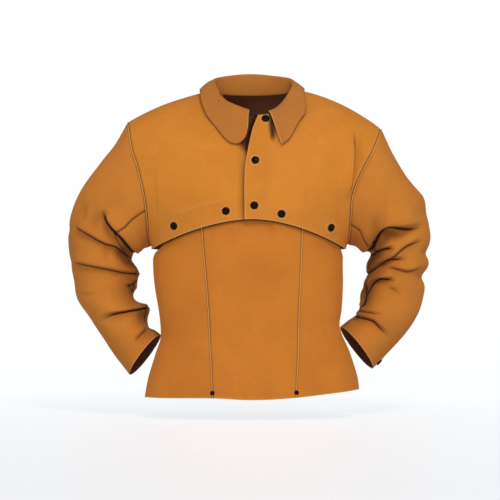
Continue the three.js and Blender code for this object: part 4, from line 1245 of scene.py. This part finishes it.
for name, (x, z) in CHEST_SNAPS.items():
    point, normal = place_on(chest_y, np.float64(x), np.float64(z))
    set_in(cap, f"{name}_cap_domed", f"{name}_cap", point, normal)
    set_in(stud, f"{name}_stud_turned", f"{name}_stud", point, normal)
for side_name, (point, normal) in rivet_places.items():
    set_in(rivet, f"bib_rivet_{side_name}_domed", f"bib_rivet_{side_name}", point, normal)
# share of the way to the cuff, degrees round from the outer line
CUFF_SNAPS = {"right": (0.965, -35), "left": (0.972, 10)}
PATCH = np.array([-1.0, 0, 1.0])
PATCH_STEP = 0.004
for side_name, (along, angle) in CUFF_SNAPS.items():
    angles = np.tile(angle + PATCH, (3, 1))
    patch, _ = sleeve_points(side_name, along + PATCH_STEP * PATCH, angles)
    normal = normals(patch, SIDES[side_name]["sign"] < 0)[1, 1]
    set_in(plain, f"cuff_snap_{side_name}_domed", f"cuff_snap_{side_name}", patch[1, 1], normal)
for pattern in (cap, stud, plain, rivet):
    bpy.data.objects.remove(pattern)

# Placket stitching
# The row of waxed thread that holds the turned-back edge of the upper front, in lockstitches about five
# millimetres apart, each pulled a little into the suede.
STITCH = {"length": 4.0, "radius": 0.42, "sunk": 0.5, "proud": 0.12, "sides": 8}
STITCH_ROW = {"pitch": 5.2, "from_edge": 38, "first": -222, "last": -104}


def waxed_thread():
    DEEP, LIT = (0.5, 0.2, 0.045), (0.62, 0.3, 0.09)
    material, add, link, shader = new_material("waxed_thread")
    twist = add("ShaderNodeTexNoise", Scale=1600.0, Detail=3.0)
    link(add("ShaderNodeTexCoord").outputs["Object"], twist.inputs["Vector"])
    ply = ranged(add, link, twist.outputs["Fac"], 0.35, 0.65, 0.0, 1.0)
    link(tinted(add, link, DEEP, LIT, ply), shader.inputs["Base Color"])
    set_inputs(shader, Roughness=0.6)
    return material


half, thick, sunk = STITCH["length"] / 2, STITCH["radius"], STITCH["sunk"]
stitch = raised("stitch_pattern", [
    (0.5 * thick, -half, sunk),
    (0.9 * thick, -0.8 * half, 0.3 * sunk),
    (thick, -0.5 * half, 0),
    (thick, 0.5 * half, 0),
    (0.9 * thick, 0.8 * half, 0.3 * sunk),
    (0.5 * thick, half, sunk),
], STITCH["sides"], waxed_thread())
front_points = left_front.reshape(-1, 3)
front_normals = normals(left_front, False).reshape(-1, 3)
row = []
for z in np.arange(STITCH_ROW["first"], STITCH_ROW["last"], STITCH_ROW["pitch"]):
    x = placket_x(z) + STITCH_ROW["from_edge"]
    near = np.argmin(np.hypot(front_points[:, 0] - x, front_points[:, 2] - z))
    copy = bpy.data.objects.new("stitch_copy", stitch.data.copy())
    place = front_points[near] + STITCH["proud"] * front_normals[near]
    copy.data.transform(Matrix.Translation(Vector(place) * MM))
    bpy.context.scene.collection.objects.link(copy)
    row.append(copy)
bpy.data.objects.remove(stitch)
bpy.ops.object.select_all(action="DESELECT")
for copy in row:
    copy.select_set(True)
bpy.context.view_layer.objects.active = row[0]
bpy.ops.object.join()
stitches = bpy.context.object
stitches.name = stitches.data.name = "placket_stitches"
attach(stitches, "root")

# Floor, light and camera
# A pale studio floor that runs back into a white ground, a large lamp high in front, weaker ones low
# down, at both sides and behind, and the long lens of a catalogue picture.
FLOOR_Z = -0.583
FLOOR_SIZE = (16, 12, 1)
FLOOR_FADE = (-6.0, 6.0)
# how bright the floor is of itself, from near to far: y in metres, glow
FLOOR_GLOW = [
    (-6.0, 0.88), (-2.4, 0.88), (-1.75, 0.58), (-1.5, 0.58),
    (-0.36, 0.685), (0.75, 0.78), (2.6, 0.82), (6.0, 0.88),
]
GLOW_TINT = (0.985, 0.995, 1.01)
bpy.ops.object.select_all(action="DESELECT")
bpy.ops.mesh.primitive_plane_add(size=1)
floor = bpy.context.object
floor.name = floor.data.name = "studio_floor"
bpy.ops.object.mode_set(mode="EDIT")
bpy.ops.transform.resize(value=FLOOR_SIZE)
bpy.ops.transform.translate(value=(0, 0, FLOOR_Z))
bpy.ops.object.mode_set(mode="OBJECT")
floor_paint, add, link, shader = new_material("studio_floor_paint")
set_inputs(shader, Base_Color=(0.34, 0.36, 0.38, 1), Roughness=0.4, Specular_IOR_Level=0.2)
set_inputs(shader, Emission_Strength=1.0)
along_floor = add("ShaderNodeSeparateXYZ")
link(add("ShaderNodeTexCoord").outputs["Object"], along_floor.inputs["Vector"])
fade = add("ShaderNodeValToRGB")
link(ranged(add, link, along_floor.outputs["Y"], *FLOOR_FADE, 0.0, 1.0), fade.inputs["Fac"])
for stop, (y, glow) in enumerate(FLOOR_GLOW):
    place = (y - FLOOR_FADE[0]) / (FLOOR_FADE[1] - FLOOR_FADE[0])
    mark = fade.color_ramp.elements[stop] if stop < 2 else fade.color_ramp.elements.new(place)
    mark.position = place
    mark.color = (*(glow * tint for tint in GLOW_TINT), 1)
link(fade.outputs["Color"], shader.inputs["Emission Color"])
floor.visible_diffuse = False
floor.data.materials.append(floor_paint)

world = bpy.data.worlds.new("studio")
bpy.context.scene.world = world
world.use_nodes = True
add, link = node_maker(world.node_tree)
ground = world.node_tree.nodes["Background"]
set_inputs(ground, Color=(1, 1, 1, 1), Strength=1.0)
room = add("ShaderNodeBackground", Color=(1, 1, 1, 1), Strength=0.36)
ray = add("ShaderNodeLightPath")
either = add("ShaderNodeMixShader")
link(ray.outputs["Is Camera Ray"], either.inputs["Fac"])
link(room.outputs["Background"], either.inputs[1])
link(ground.outputs["Background"], either.inputs[2])
link(either.outputs["Shader"], world.node_tree.nodes["World Output"].inputs["Surface"])


def softbox(name, place, aim, size, power):
    lamp = bpy.data.lights.new(name, "AREA")
    lamp.shape = "RECTANGLE"
    lamp.size, lamp.size_y = size
    lamp.energy = power
    box = bpy.data.objects.new(name, lamp)
    box.location = place
    box.rotation_euler = (Vector(aim) - Vector(place)).to_track_quat("-Z", "Y").to_euler()
    bpy.context.scene.collection.objects.link(box)
    return box


softbox("key_light", (0.45, -2.3, 1.6), (0, 0, -0.2), (0.8, 0.8), 34)
softbox("fill_light", (-0.4, -3.2, -0.3), (0, 0, -0.35), (2.4, 0.5), 16)
off_floor = [
    softbox("right_light", (-2.0, -1.3, -0.1), (-0.25, 0, -0.28), (1.2, 0.9), 11),
    softbox("left_light", (2.0, -1.3, -0.1), (0.25, 0, -0.28), (1.2, 0.9), 11),
    softbox("back_light", (0.3, 2.8, 0.7), (0, 0, -0.25), (1.6, 1.2), 16),
]
# the lamps at the sides and behind light the leather and not the floor
unlit = bpy.data.collections.new("unlit_floor")
unlit.objects.link(floor)
unlit.collection_objects[0].light_linking.link_state = "EXCLUDE"
for box in off_floor:
    box.light_linking.receiver_collection = unlit

camera_data = bpy.data.cameras.new("camera")
camera_data.lens = 200
camera_data.sensor_width = 36
camera = bpy.data.objects.new("camera", camera_data)
camera.location = (-0.0045, -5.0, -0.2826)
camera.rotation_euler = (np.pi / 2, 0, 0)
bpy.context.scene.collection.objects.link(camera)
bpy.context.scene.camera = camera
bpy.context.scene.view_settings.view_transform = "Standard"
